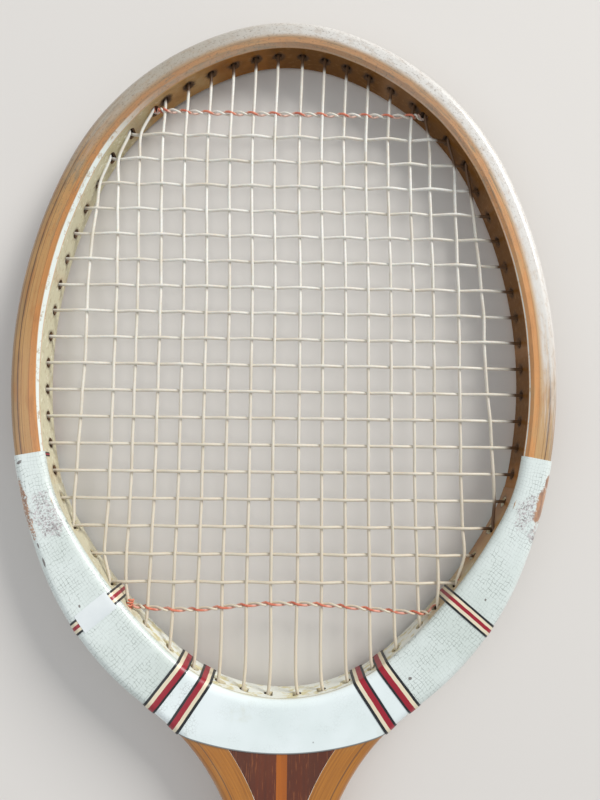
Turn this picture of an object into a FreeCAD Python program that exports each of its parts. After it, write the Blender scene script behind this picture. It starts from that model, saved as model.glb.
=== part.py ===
import FreeCAD, Part
import os
from math import atan2, ceil, cos, hypot, pi, radians, sin, sqrt

# Solid-throat wooden racket with an oval head.  Millimetres, +Y from the butt
# to the tip of the head, +Z out of the front of the string bed, X across.

# ---- whole racket -----------------------------------------------------------
LENGTH = 686.0            # 27 in from butt to tip
DEPTH = 18.0              # front to back of the bow
HEAD_OPENING = 282.2      # inside length of the head

# ---- bow: two bent laminations ----------------------------------------------
PLY_INNER, PLY_OUTER = 10.1, 2.6
PLY_JOINTS = (15, 9, 3)                   # crosses above the inner ply's joints, from the lowest
CROWN_R, CROWN_TURN = 67.3, 17.1          # inside face of the bow, from the tip
SHOULDER_R, SHOULDER_TURN = 107.5, 47.6
SIDE_R, SIDE_LENGTH = 201.4, 169.43
LOWER_R, LIMB_LEAN = 117.1, 52.1          # bend under the sides, and the limbs' lean after it
REVERSE_R = 104.0                         # where a limb bends back into the shaft
EDGE_CHAMFER = 2.2                        # eased outer corners of the bow
EDGE_BEVEL = 1.8                          # corners round the head opening

# ---- throat -----------------------------------------------------------------
THROAT_R, THROAT_TURN = 70.0, 41.0        # bottom of the head opening
CHEEK_R, HAUNCH_R = 220.0, 72.7           # flat stretch on each side of it, and the bend to the sides
YOKE_DEPTH = 9.0
YOKE_TIP = 0.3                            # thickness left at the feathered tips
STRIP = 4.3                               # pale strip down the middle of the shaft
WEDGE_TIP = 0.4

# ---- strings ----------------------------------------------------------------
GUT_R = 0.7
MOUTH_REACH = 0.7                         # a string bends this far inside its hole's mouth
LOOP_STEP = 22.0                          # bends of a loop lying in the groove
TREBLE_END = 6.0                          # length of a trebling strand in its hole
TREBLE_R = 0.45
MAIN_INNER, MAIN_PITCH, MAINS_A_SIDE = 5.6, 10.15, 9
OUTER_MAIN_TOP, OUTER_MAIN_MID, OUTER_MAIN_LOW = 82.3, 88.0, 90.3
OUTER_STRAIGHT, OUTER_LEAN_UP, OUTER_LEAN_DOWN = 15.0, 65.0, 70.0
THROAT_FAN = 1.035                        # the mains spread a little at the throat
FAN_START, FAN_LENGTH = 60.0, 80.0
CROSSES, CROSS_PITCH = 18, 11.69
TREBLE_TOP, TREBLE_LOW = 110.3, -108.8    # from the middle of the string grid
TREBLE_APART = 1.1                        # between the two strands of a row
TREBLE_CLEAR = 0.05                       # more than a cross keeps, where a main turns to its hole
GRID_FROM_TIP = 137.4                     # middle of the grid below the inside of the tip
WEAVE_CLEAR = 0.27                        # between a main and what is woven over or under it
LEVEL_OUT = 11.0                          # a string lies flat from here inwards
EDGE_GAP = 2.6                            # no crossing nearer the frame than this
HOLE_HALF = 1.05
HOLE_BEFORE, HOLE_PAST = 4.0, 5.0         # a drill starts and ends this far outside the wood
HOLE_STAGGER = 1.35                       # mains' holes above, crosses' holes below
GROOVE_HALF, GROOVE_RUN_OUT = 2.5, 9.0   # the groove is as deep as the outer ply
STRING_CLEAR = 0.45                       # under a loop that lies in the groove

# ---- linen on the shoulders --------------------------------------------------
LINEN = 0.5
LINEN_TOP = 10.3                          # degrees below the widest point
LINEN_LOW_X, LINEN_LOW_Y, LINEN_LEAN = 43.9, -155.3, 34.0
LINEN_SLOT = 3.0                          # half width left open along the string groove

# ---- handle -----------------------------------------------------------------
CHEEK = 5.2                               # wood added front and back of the shaft
SLIP = 1.5                                # wood added on each side
HANDLE_TOP, HANDLE_TAPER = 210.0, 16.0
TAPER_TIP = 0.8                           # thickness left where the cheeks run out
LEATHER = 1.6
WRAP_PITCH, WRAP_GAP, WRAP_BEVEL = 27.0, 0.35, 1.1
WRAP_LOW, WRAP_HIGH = 3.2, 184.0
COLLAR_LENGTH, COLLAR_THICK = 8.0, 1.2
FLARE_LENGTH, FLARE = 26.0, 3.0
BUTT_CAP = 2.4
CAP_ROUND = 1.0
FIT = 0.15                                # leather over wood

os.makedirs("parts", exist_ok=True)

V = FreeCAD.Vector
BOW = PLY_INNER + PLY_OUTER
HALF_DEPTH = DEPTH / 2.0
TIP_INSIDE = LENGTH - BOW
THROAT_INSIDE = TIP_INSIDE - HEAD_OPENING
CROSS_SPAN = (CROSSES - 1) * CROSS_PITCH / 2.0
GRID = TIP_INSIDE - GRID_FROM_TIP         # middle of the string grid
SHAFT_INSIDE = STRIP / 2.0
SHAFT_OUTSIDE = SHAFT_INSIDE + BOW


# ---- tangent chains of arcs and straights in the X-Y plane ------------------
class Bend:
    """One arc or straight of a chain that runs clockwise round the head."""

    def __init__(self, x, y, heading, kind, size, turn=0.0):
        self.kind, self.heading = kind, heading
        if kind == "ahead":
            self.x, self.y, self.length, self.turn = x, y, size, 0.0
        else:
            side = 1.0 if kind == "right" else -1.0
            self.side, self.radius, self.turn = side, size, radians(turn)
            self.x = x + side * size * sin(heading)
            self.y = y - side * size * cos(heading)
            self.length = size * self.turn

    def at(self, share, away=0.0):
        """Point at a share of the length, moved off to the outside by away."""
        if self.kind == "ahead":
            along = share * self.length
            return V(self.x + along * cos(self.heading) - away * sin(self.heading),
                     self.y + along * sin(self.heading) + away * cos(self.heading), 0)
        facing = self.facing(share)
        reach = self.side * self.radius + away
        return V(self.x - reach * sin(facing), self.y + reach * cos(facing), 0)

    def facing(self, share):
        if self.kind == "ahead":
            return self.heading
        return self.heading - self.side * share * self.turn

    def outward(self, share):
        facing = self.facing(share)
        return V(-sin(facing), cos(facing), 0)

    def foot(self, point):
        """Share of the length at which this bend is nearest to a point."""
        if self.kind == "ahead":
            share = ((point.x - self.x) * cos(self.heading) + (point.y - self.y) * sin(self.heading)) / self.length
        else:
            facing = atan2(-self.side * (point.x - self.x), self.side * (point.y - self.y))
            turned = self.side * (self.heading - facing)
            share = ((turned + pi) % (2.0 * pi) - pi) / self.turn
        return min(1.0, max(0.0, share))

    def edge(self, first, last, away):
        start, end = self.at(first, away), self.at(last, away)
        if self.kind == "ahead":
            return Part.LineSegment(start, end).toShape()
        return Part.Arc(start, self.at((first + last) / 2.0, away), end).toShape()


def chain(x, y, heading, moves):
    bends = []
    for move in moves:
        bend = Bend(x, y, heading, *move)
        bends.append(bend)
        end = bend.at(1.0)
        x, y, heading = end.x, end.y, bend.facing(1.0)
    return bends


def chain_length(bends):
    return sum(bend.length for bend in bends)


def locate(bends, along):
    for bend in bends:
        if along <= bend.length + 1e-9:
            return bend, along / bend.length
        along -= bend.length
    return bends[-1], 1.0


def nearest(bends, point):
    """Distance along a chain to its nearest place to a point, and how far off that is."""
    best, passed = (0.0, None), 0.0
    for bend in bends:
        share = bend.foot(point)
        off = (point - bend.at(share)).Length
        if best[1] is None or off < best[1]:
            best = (passed + share * bend.length, off)
        passed += bend.length
    return best


def chain_edges(bends, start, end, away=0.0):
    edges, passed = [], 0.0
    for bend in bends:
        first = max(0.0, (start - passed) / bend.length)
        last = min(1.0, (end - passed) / bend.length)
        if last - first > 1e-7:
            edges.append(bend.edge(first, last, away))
        passed += bend.length
    return edges


def mirrored(shape):
    return shape.mirror(V(0, 0, 0), V(1, 0, 0))


def line(a, b):
    return Part.LineSegment(a, b).toShape()


def face_of(edges):
    return Part.Face(Part.Wire(Part.__sortEdges__(edges)))


def slab(face, half_height):
    moved = face.copy()
    moved.translate(V(0, 0, -half_height))
    return moved.extrude(V(0, 0, 2 * half_height))


def direction(heading):
    return V(cos(heading), sin(heading), 0)


# inside face of the bow, right half, from the tip to the butt
def bow_chain():
    side_turn = SIDE_LENGTH / SIDE_R * 180.0 / pi
    lower_turn = 90.0 + LIMB_LEAN - CROWN_TURN - SHOULDER_TURN - side_turn
    arcs = [("right", CROWN_R, CROWN_TURN), ("right", SHOULDER_R, SHOULDER_TURN),
            ("right", SIDE_R, side_turn), ("right", LOWER_R, lower_turn)]
    lean = radians(LIMB_LEAN)
    end = chain(0.0, TIP_INSIDE, 0.0, arcs)[-1].at(1.0)
    inward = REVERSE_R * (1.0 - cos(lean))
    straight = (end.x - SHAFT_INSIDE - inward) / sin(lean)
    low_y = end.y - straight * cos(lean) - REVERSE_R * sin(lean)
    tail = [("ahead", straight), ("left", REVERSE_R, LIMB_LEAN), ("ahead", low_y - BUTT_CAP)]
    return chain(0.0, TIP_INSIDE, 0.0, arcs + tail)


BOW_LINE = bow_chain()
BOW_LENGTH = chain_length(BOW_LINE)


# outline of the head opening, right half, from the tip to the throat
def opening_chain():
    side = V(BOW_LINE[2].x, BOW_LINE[2].y, 0)
    throat = V(0, THROAT_INSIDE + THROAT_R, 0)
    cheek = throat + direction(radians(THROAT_TURN) + pi / 2.0) * (CHEEK_R - THROAT_R)
    # the haunch touches both the cheek's arc and the side arc from inside
    apart = side - cheek
    from_cheek, from_side = CHEEK_R - HAUNCH_R, SIDE_R - HAUNCH_R
    along = (apart.Length ** 2 + from_cheek ** 2 - from_side ** 2) / (2.0 * apart.Length)
    aside = sqrt(from_cheek ** 2 - along ** 2)
    apart.normalize()
    haunch = cheek + apart * along + V(-apart.y, apart.x, 0) * aside
    below = -atan2(haunch.y - side.y, haunch.x - side.x) * 180.0 / pi
    cheek_turn = 90.0 + atan2(haunch.y - cheek.y, haunch.x - cheek.x) * 180.0 / pi - THROAT_TURN
    side_turn = 90.0 + below - CROWN_TURN - SHOULDER_TURN
    haunch_turn = 90.0 - THROAT_TURN - cheek_turn - below
    arcs = [("right", CROWN_R, CROWN_TURN), ("right", SHOULDER_R, SHOULDER_TURN),
            ("right", SIDE_R, side_turn), ("right", HAUNCH_R, haunch_turn),
            ("right", CHEEK_R, cheek_turn), ("right", THROAT_R, THROAT_TURN)]
    return chain(0.0, TIP_INSIDE, 0.0, arcs)


OPENING = opening_chain()
OPENING_LENGTH = chain_length(OPENING)


def opening_face(shrink):
    edges = chain_edges(OPENING, 0, OPENING_LENGTH, -shrink)
    return face_of(edges + [mirrored(edge) for edge in edges])


# ---- where the strings meet the frame ---------------------------------------
def crossings(bends, test):
    """Distances along a chain at which test changes sign."""
    def value(along):
        bend, share = locate(bends, along)
        return test(bend.at(share)) > 0

    found, step = [], 1.5
    for i in range(int(chain_length(bends) / step)):
        low, high = i * step, (i + 1) * step
        before = value(low)
        if value(high) != before:
            while high - low > 1e-9:
                middle = (low + high) / 2.0
                low, high = (middle, high) if value(middle) == before else (low, middle)
            found.append(low)
    return found


def main_x(number, height):
    """Place of a main string, counted outwards from the middle, at a height in the grid."""
    if number < MAINS_A_SIDE - 1:
        place = MAIN_INNER + number * MAIN_PITCH
        low_share = max(0.0, -height - FAN_START) / FAN_LENGTH
        return place * (1.0 + (THROAT_FAN - 1.0) * low_share)
    if height > 0:
        share = max(0.0, height - OUTER_STRAIGHT) / OUTER_LEAN_UP
        return OUTER_MAIN_MID + (OUTER_MAIN_TOP - OUTER_MAIN_MID) * share ** 1.2
    return OUTER_MAIN_MID + (OUTER_MAIN_LOW - OUTER_MAIN_MID) * min(1.0, -height / OUTER_LEAN_DOWN)


def main_end(number, upper):
    spots = crossings(OPENING, lambda p: p.x - main_x(number, p.y - GRID))
    bend, share = locate(OPENING, spots[0] if upper else spots[-1])
    return bend.at(share)


def cross_end(height):
    bend, share = locate(OPENING, crossings(OPENING, lambda p: p.y - GRID - height)[0])
    return bend.at(share)


def hole_through(mouth):
    """Start, end and direction of a hole from the opening to the groove floor, and its place."""
    along = nearest(BOW_LINE, mouth)[0]
    bend, share = locate(BOW_LINE, along)
    floor = bend.at(share, PLY_INNER)
    direction = (floor - mouth)
    direction.normalize()
    return {"mouth": mouth, "floor": floor, "direction": direction, "along": along}


CROSS_HEIGHTS = [j * CROSS_PITCH - CROSS_SPAN for j in range(CROSSES)]
SIDE_HOLES = [hole_through(cross_end(h)) for h in CROSS_HEIGHTS]
TREBLE_HOLES = {"top": hole_through(cross_end(TREBLE_TOP)), "low": hole_through(cross_end(TREBLE_LOW))}
LAST = MAINS_A_SIDE - 1
# at the four corners of the head a main and a cross share one taller hole
SHARED_TOP = {LAST: SIDE_HOLES[-2], LAST - 1: SIDE_HOLES[-1], LAST - 2: TREBLE_HOLES["top"]}
SHARED_LOW = {LAST: SIDE_HOLES[2], LAST - 1: SIDE_HOLES[0], LAST - 2: TREBLE_HOLES["low"]}
TOP_HOLES = [SHARED_TOP.get(k) or hole_through(main_end(k, True)) for k in range(MAINS_A_SIDE)]
LOW_HOLES = [SHARED_LOW.get(k) or hole_through(main_end(k, False)) for k in range(MAINS_A_SIDE)]


def drill(hole, low, high):
    """Four-sided hole, right and left, between two heights."""
    length = (hole["floor"] - hole["mouth"]).Length + HOLE_BEFORE + HOLE_PAST
    box = Part.makeBox(length, 2 * HOLE_HALF, high - low, V(-HOLE_BEFORE, -HOLE_HALF, low))
    direction = hole["direction"]
    box.rotate(V(0, 0, 0), V(0, 0, 1), atan2(direction.y, direction.x) * 180.0 / pi)
    box.translate(hole["mouth"])
    return [box, mirrored(box)]


DRILLS = []
shared = list(SHARED_TOP.values()) + list(SHARED_LOW.values())
for hole in shared:
    DRILLS += drill(hole, -HOLE_STAGGER - HOLE_HALF, HOLE_STAGGER + HOLE_HALF)
for hole in TOP_HOLES + LOW_HOLES:
    if hole not in shared:
        DRILLS += drill(hole, HOLE_STAGGER - HOLE_HALF, HOLE_STAGGER + HOLE_HALF)
for hole in SIDE_HOLES:
    if hole not in shared:
        DRILLS += drill(hole, -HOLE_STAGGER - HOLE_HALF, -HOLE_STAGGER + HOLE_HALF)


def drilled(solid):
    box = solid.BoundBox
    near = [tool for tool in DRILLS if box.intersect(tool.BoundBox)]
    return solid.cut(near) if near else solid


# ---- bow --------------------------------------------------------------------
def bow_strip(inside, outside, start=0.0, end=None):
    """Face between two distances from the inside of the bow: a U from the tip, or a right-hand length."""
    end = BOW_LENGTH if end is None else end
    edges = chain_edges(BOW_LINE, start, end, inside) + chain_edges(BOW_LINE, start, end, outside)
    for along in (start, end):
        if along > 0:
            bend, share = locate(BOW_LINE, along)
            edges.append(line(bend.at(share, inside), bend.at(share, outside)))
    if start == 0:
        edges += [mirrored(edge) for edge in edges]
    return face_of(edges)


def flip(point, right):
    return point if right else V(-point.x, point.y, point.z)


def eased(solid, half_height, away, chamfer):
    """Chamfer along the outer corners of the bow, front and back."""
    corners = []
    for edge in solid.Edges:
        level = all(abs(abs(vertex.Z) - half_height) < 1e-6 for vertex in edge.Vertexes)
        middle = edge.valueAt((edge.FirstParameter + edge.LastParameter) / 2.0)
        middle.z = 0
        if level and abs(nearest(BOW_LINE, flip(middle, middle.x > 0))[1] - away) < 1e-3:
            corners.append(edge)
    return solid.makeChamfer(chamfer, corners)


# bevel round the head opening, front and back
def bevel_tools():
    tools, past = [], 0.5
    for side in (1, -1):
        low, high = opening_face(0.0).Wires[0], opening_face(-EDGE_BEVEL - past).Wires[0]
        low.translate(V(0, 0, side * (HALF_DEPTH - EDGE_BEVEL)))
        high.translate(V(0, 0, side * (HALF_DEPTH + past)))
        tools.append(Part.makeLoft([low, high], True, True))
    return tools


BEVELS = bevel_tools()

outer_ply = eased(slab(bow_strip(PLY_INNER, BOW), HALF_DEPTH), HALF_DEPTH, BOW, EDGE_CHAMFER)

GROOVE_END = max(hole["along"] for hole in LOW_HOLES) + GROOVE_RUN_OUT
groove = slab(bow_strip(PLY_INNER - 1.0, BOW + 1.0, 0.0, GROOVE_END), GROOVE_HALF)
outer_ply = outer_ply.cut(groove)

# the inner ply is laid in lengths that meet between neighbouring cross strings' holes
joints = [0.0] + [(SIDE_HOLES[j]["along"] + SIDE_HOLES[j - 1]["along"]) / 2.0 for j in PLY_JOINTS] + [BOW_LENGTH]
inner_plies = []
for start, end in zip(joints, joints[1:]):
    length = drilled(slab(bow_strip(0.0, PLY_INNER, start, end), HALF_DEPTH).cut(BEVELS))
    inner_plies += [length] if start == 0 else [length, mirrored(length)]
inner_ply = Part.makeCompound(inner_plies)


# ---- throat: yoke, wedge halves and middle strip ----------------------------
def tip_cut():
    """Blunt tip of the yoke: along the opening and along the bow, on one ray."""
    side, haunch = BOW_LINE[2], OPENING[3]
    start = OPENING[0].length + OPENING[1].length + OPENING[2].length
    along = start
    while True:
        bend, share = locate(OPENING, along)
        point = bend.at(share)
        gap = SIDE_R - hypot(point.x - side.x, point.y - side.y)
        if gap >= YOKE_TIP:
            break
        along += 0.1
    facing = atan2(-(point.x - side.x), point.y - side.y)
    share = (side.heading - facing) / side.turn
    before = BOW_LINE[0].length + BOW_LINE[1].length
    return along, before + share * side.length


TIP_OPENING, TIP_BOW = tip_cut()
YOKE_BOW = crossings(BOW_LINE, lambda p: nearest(OPENING, p)[1] - YOKE_DEPTH)[-1]
CORNER_BEND, CORNER_SHARE = locate(BOW_LINE, YOKE_BOW)
YOKE_CORNER = nearest(OPENING, CORNER_BEND.at(CORNER_SHARE))[0]
STRIP_TOP = crossings(OPENING, lambda p: p.x * (1.0 + YOKE_DEPTH / THROAT_R) - SHAFT_INSIDE)[-1]


def yoke_face():
    edges = chain_edges(OPENING, TIP_OPENING, OPENING_LENGTH) + chain_edges(BOW_LINE, TIP_BOW, YOKE_BOW)
    a, b = locate(OPENING, TIP_OPENING), locate(BOW_LINE, TIP_BOW)
    edges.append(line(a[0].at(a[1]), b[0].at(b[1])))
    edges += chain_edges(OPENING, YOKE_CORNER, OPENING_LENGTH, YOKE_DEPTH)
    return face_of(edges + [mirrored(edge) for edge in edges])


def wedge_face():
    end = crossings(BOW_LINE, lambda p: p.x - SHAFT_INSIDE - WEDGE_TIP)[-1]
    edges = chain_edges(BOW_LINE, YOKE_BOW, end) + chain_edges(OPENING, YOKE_CORNER, STRIP_TOP, YOKE_DEPTH)
    bend, share = locate(BOW_LINE, end)
    foot = bend.at(share)
    bend, share = locate(OPENING, STRIP_TOP)
    top, low = bend.at(share, YOKE_DEPTH), V(SHAFT_INSIDE, foot.y, 0)
    return face_of(edges + [line(top, low), line(low, foot)])


def strip_face():
    edges = chain_edges(OPENING, STRIP_TOP, OPENING_LENGTH, YOKE_DEPTH)
    bend, share = locate(OPENING, STRIP_TOP)
    top, low = bend.at(share, YOKE_DEPTH), V(SHAFT_INSIDE, BUTT_CAP, 0)
    edges += [line(top, low), line(low, V(0, BUTT_CAP, 0))]
    return face_of(edges + [mirrored(edge) for edge in edges])


yoke = drilled(slab(yoke_face(), HALF_DEPTH).cut(BEVELS))
wedge_right = drilled(slab(wedge_face(), HALF_DEPTH))
wedge_left = drilled(slab(mirrored(wedge_face()), HALF_DEPTH))
centre_strip = slab(strip_face(), HALF_DEPTH)


# ---- linen bound round the shoulders ------------------------------------------
def frame_block(grow):
    """The whole frame as one block, grown on every side but the opening's."""
    edges = chain_edges(BOW_LINE, 0, BOW_LENGTH, BOW + grow)
    edges += [mirrored(edge) for edge in edges]
    foot = BOW_LINE[-1].at(1.0, BOW + grow)
    edges.append(line(foot, flip(foot, False)))
    softer = grow * (2.0 - sqrt(2.0))
    return eased(slab(face_of(edges), HALF_DEPTH + grow), HALF_DEPTH + grow, BOW + grow, EDGE_CHAMFER + softer)


def sleeve_zone():
    """Area on the right shoulder, from the ray where the linen starts to the throat."""
    side = BOW_LINE[2]
    centre = V(side.x, side.y, 0)
    ray = V(cos(radians(LINEN_TOP)), -sin(radians(LINEN_TOP)), 0)
    lean = radians(LINEN_LEAN)
    across = V(-sin(lean), cos(lean), 0) * (3 * DEPTH)
    foot = V(LINEN_LOW_X, GRID + LINEN_LOW_Y, 0)
    corners = [centre + ray * (SIDE_R - DEPTH), centre + ray * (SIDE_R + 3 * DEPTH),
               V(SIDE_R, foot.y - 3 * DEPTH, 0), foot - across, foot + across]
    return Part.Face(Part.makePolygon(corners + corners[:1])).cut(opening_face(-EDGE_BEVEL))


string_slot = slab(bow_strip(BOW - 1.0, BOW + LINEN + 1.0, 0.0, GROOVE_END), LINEN_SLOT)
linen_right = frame_block(LINEN).common(slab(sleeve_zone(), DEPTH)).cut([frame_block(0.0), string_slot])
linen_left = mirrored(linen_right)


# ---- strings ----------------------------------------------------------------
def solid_of(faces):
    shell = Part.makeShell(faces)
    shell.sewShape()
    solid = Part.makeSolid(shell)
    if solid.Volume < 0:
        solid.reverse()
    return solid


def mitred_tube(points, outline, up):
    """Prism along a path of straights, mitred at each corner; outline is (side, height) pairs."""
    run = (points[1] - points[0])
    run.normalize()
    side = run.cross(up)
    side.normalize()
    rise = side.cross(run)
    ring = [points[0] + side * a + rise * b for a, b in outline]
    rings = [ring]
    for i in range(1, len(points)):
        run = points[i] - points[i - 1]
        run.normalize()
        plane = V(run)
        if i + 1 < len(points):
            after = points[i + 1] - points[i]
            after.normalize()
            plane = run + after
            plane.normalize()
        ring = [p + run * ((points[i] - p).dot(plane) / run.dot(plane)) for p in ring]
        rings.append(ring)
    faces = []
    count = len(outline)
    for low, high in zip(rings, rings[1:]):
        for k in range(count):
            n = (k + 1) % count
            faces.append(Part.Face(Part.makePolygon([low[k], low[n], high[n], high[k], low[k]])))
    for ring in (rings[0], rings[-1]):
        faces.append(Part.Face(Part.makePolygon(ring + [ring[0]])))
    return solid_of(faces)


def round_outline(radius, sides):
    grow = radius * sqrt(2.0 * pi / (sides * sin(2.0 * pi / sides)))
    return [(grow * cos(2 * pi * (k + 0.5) / sides), grow * sin(2 * pi * (k + 0.5) / sides)) for k in range(sides)]


GUT = round_outline(GUT_R, 4)
THIN = round_outline(TREBLE_R, 4)
LOOP_LIFT = GUT_R + STRING_CLEAR
WEAVE = 2 * GUT_R + WEAVE_CLEAR              # a cross rides this far over or under a main


def hole_points(hole, level):
    """Points on the right: just inside the opening, and in the groove outside."""
    mouth = hole["mouth"] - hole["direction"] * MOUTH_REACH + V(0, 0, level)
    bend, share = locate(BOW_LINE, hole["along"])
    return [mouth, bend.at(share, PLY_INNER + LOOP_LIFT) + V(0, 0, level)]


def groove_run(first, last, level, right_first, right_last):
    """Points along the groove between two holes, both ends left out."""
    a = first["along"] if right_first else -first["along"]
    b = last["along"] if right_last else -last["along"]
    steps = int(ceil(abs(b - a) / LOOP_STEP))
    points = []
    for i in range(1, steps):
        s = a + (b - a) * i / steps
        bend, share = locate(BOW_LINE, abs(s))
        points.append(flip(bend.at(share, PLY_INNER + LOOP_LIFT) + V(0, 0, level), s > 0))
    return points


def main_run(number):
    """A right-hand main from its low hole to its top hole."""
    low, top = hole_points(LOW_HOLES[number], HOLE_STAGGER), hole_points(TOP_HOLES[number], HOLE_STAGGER)
    heights = [max(CROSS_HEIGHTS[0], low[0].y + LEVEL_OUT - GRID), min(CROSS_HEIGHTS[-1], top[0].y - LEVEL_OUT - GRID)]
    if number == LAST:
        heights[1:1] = [0.0, CROSS_SPAN * 0.4]
    return low[::-1] + [V(main_x(number, h), GRID + h, 0) for h in heights] + top


MAIN_RUNS = [main_run(number) for number in range(MAINS_A_SIDE)]


def main_at(number, height):
    """Where a right-hand main passes a height in the grid, or None past its ends."""
    run = MAIN_RUNS[number][1:-1]
    for low, high in zip(run, run[1:]):
        if low.y <= GRID + height <= high.y:
            return low + (high - low) * ((GRID + height - low.y) / (high.y - low.y))
    return None


def main_number(i):
    """Number from the middle and side of the i-th main, counted from the far left."""
    return (i - MAINS_A_SIDE, True) if i >= MAINS_A_SIDE else (MAINS_A_SIDE - 1 - i, False)


def main_path():
    points = []
    for i in range(2 * MAINS_A_SIDE):
        number, right = main_number(i)
        upwards = i % 2 == 0
        run = [flip(point, right) for point in MAIN_RUNS[number]]
        if points:
            before, was_right = main_number(i - 1)
            holes = LOW_HOLES if upwards else TOP_HOLES
            points += groove_run(holes[before], holes[number], HOLE_STAGGER, was_right, right)
        points += run if upwards else run[::-1]
    return points


def woven(height, mouth, over_first, rise):
    """Points over and under the mains, from the left to the right."""
    points = []
    for i in range(2 * MAINS_A_SIDE):
        number, right = main_number(i)
        passed = main_at(number, height)
        if passed is None or passed.x > mouth.x - EDGE_GAP:
            continue
        near_frame = passed.x > mouth.x - 2.5 * EDGE_GAP or passed.z > GUT_R / 2.0
        over = (i % 2 == 0) == over_first and (rise < WEAVE or not near_frame)
        points.append(flip(V(passed.x, GRID + height, passed.z + (rise if over else -rise)), right))
    return points


def cross_path():
    points = []
    for j, height in enumerate(CROSS_HEIGHTS):
        rightwards = j % 2 == 0
        hole = SIDE_HOLES[j]
        ends = hole_points(hole, -HOLE_STAGGER)
        run = [flip(ends[1], False), flip(ends[0], False)] + woven(height, hole["mouth"], rightwards, WEAVE) + ends
        if points:
            points += groove_run(SIDE_HOLES[j - 1], hole, -HOLE_STAGGER, not rightwards, not rightwards)
        points += run if rightwards else run[::-1]
    return points


def treble(height, hole):
    """Two thin strands that twist past each other between the mains."""
    across = V(-hole["direction"].y, hole["direction"].x, 0)
    rise = GUT_R + TREBLE_R + WEAVE_CLEAR + TREBLE_CLEAR
    strands = []
    for first, aside in ((True, TREBLE_APART / 2.0), (False, -TREBLE_APART / 2.0)):
        mouth = hole["mouth"] - hole["direction"] * MOUTH_REACH + across * aside + V(0, 0, -HOLE_STAGGER)
        inside = mouth + hole["direction"] * TREBLE_END
        points = [flip(inside, False), flip(mouth, False)]
        points += woven(height + aside, hole["mouth"], first, rise) + [mouth, inside]
        strands.append(mitred_tube(points, THIN, V(0, 0, 1)))
    return Part.makeCompound(strands)


main_string = mitred_tube(main_path(), GUT, V(0, 0, 1))
cross_string = mitred_tube(cross_path(), GUT, V(0, 0, 1))
treble_top = treble(TREBLE_TOP, TREBLE_HOLES["top"])
treble_low = treble(TREBLE_LOW, TREBLE_HOLES["low"])


# ---- handle -----------------------------------------------------------------
CORE_X, CORE_Z = SHAFT_OUTSIDE + SLIP, HALF_DEPTH + CHEEK
SPLIT = HALF_DEPTH - EDGE_CHAMFER                # the cheeks meet the side slips here
OCTAGON_CUT = CORE_Z - SPLIT


def octagon(grow):
    """Corners (x, z) of the handle's section, grown evenly on all eight flats."""
    cut = OCTAGON_CUT + grow * (2.0 - sqrt(2.0))
    x, z = CORE_X + grow, CORE_Z + grow
    return [(x, z - cut), (x - cut, z), (-x + cut, z), (-x, z - cut),
            (-x, -z + cut), (-x + cut, -z), (x - cut, -z), (x, -z + cut)]


def lofted(levels):
    """Eight-sided solid through (y, grow) pairs."""
    rings = [[V(x, y, z) for x, z in octagon(grow)] for y, grow in levels]
    faces = [Part.Face(Part.makePolygon(ring + ring[:1])) for ring in (rings[0], rings[-1])]
    for low, high in zip(rings, rings[1:]):
        for k in range(8):
            n = (k + 1) % 8
            faces.append(Part.Face(Part.makePolygon([low[k], low[n], high[n], high[k], low[k]])))
    return solid_of(faces)


def prism(outline, low, high):
    """Outline of (x, z) pairs carried from y = low to y = high."""
    face = Part.Face(Part.makePolygon([V(x, low, z) for x, z in outline + outline[:1]]))
    return face.extrude(V(0, high - low, 0))


def run_out(outside, inside):
    """Profile (distance, y) of the wood taken off where a cheek or slip runs out."""
    tip = inside + TAPER_TIP
    return [(outside, HANDLE_TOP - HANDLE_TAPER), (outside + 1.0, HANDLE_TOP - HANDLE_TAPER),
            (outside + 1.0, HANDLE_TOP + 1.0), (tip, HANDLE_TOP + 1.0), (tip, HANDLE_TOP)]


def tapered(solid):
    """Front cheek or right slip with its scarfed upper end."""
    top = [V(0, y, z) for z, y in run_out(CORE_Z, HALF_DEPTH)]
    right = [V(x, y, 0) for x, y in run_out(CORE_X, SHAFT_OUTSIDE)]
    over = Part.Face(Part.makePolygon(top + top[:1])).extrude(V(4 * CORE_X, 0, 0))
    over.translate(V(-2 * CORE_X, 0, 0))
    beside = Part.Face(Part.makePolygon(right + right[:1])).extrude(V(0, 0, 4 * CORE_Z))
    beside.translate(V(0, 0, -2 * CORE_Z))
    return solid.cut([over, beside, mirrored(beside)])


def cheek():
    """Channel that sits over the front of the shaft, down to the side slips."""
    right = [(SHAFT_OUTSIDE - EDGE_CHAMFER, HALF_DEPTH), (SHAFT_OUTSIDE, SPLIT), (CORE_X, SPLIT),
             (CORE_X - OCTAGON_CUT, CORE_Z)]
    return tapered(prism(right + [(-x, z) for x, z in right[::-1]], BUTT_CAP, HANDLE_TOP))


cheek_front = cheek()
cheek_back = cheek_front.mirror(V(0, 0, 0), V(0, 0, 1))
slip_right = tapered(prism([(SHAFT_OUTSIDE, -SPLIT), (CORE_X, -SPLIT), (CORE_X, SPLIT), (SHAFT_OUTSIDE, SPLIT)],
                           BUTT_CAP, HANDLE_TOP))
slip_left = mirrored(slip_right)


def flare_at(y):
    """How far the handle has swollen towards the butt."""
    share = max(0.0, 1.0 - (y - BUTT_CAP) / (FLARE_LENGTH - BUTT_CAP))
    return FLARE * share ** 2


FLARE_TIP = 0.25
flare_levels = [BUTT_CAP + (FLARE_LENGTH - BUTT_CAP) * share for share in (0.0, 0.3, 0.6)]
butt_flare = lofted([(y, FLARE_TIP + flare_at(y)) for y in flare_levels] + [(FLARE_LENGTH, FLARE_TIP)])
butt_flare = butt_flare.cut(prism(octagon(0.0), 0.0, LENGTH))


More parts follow.
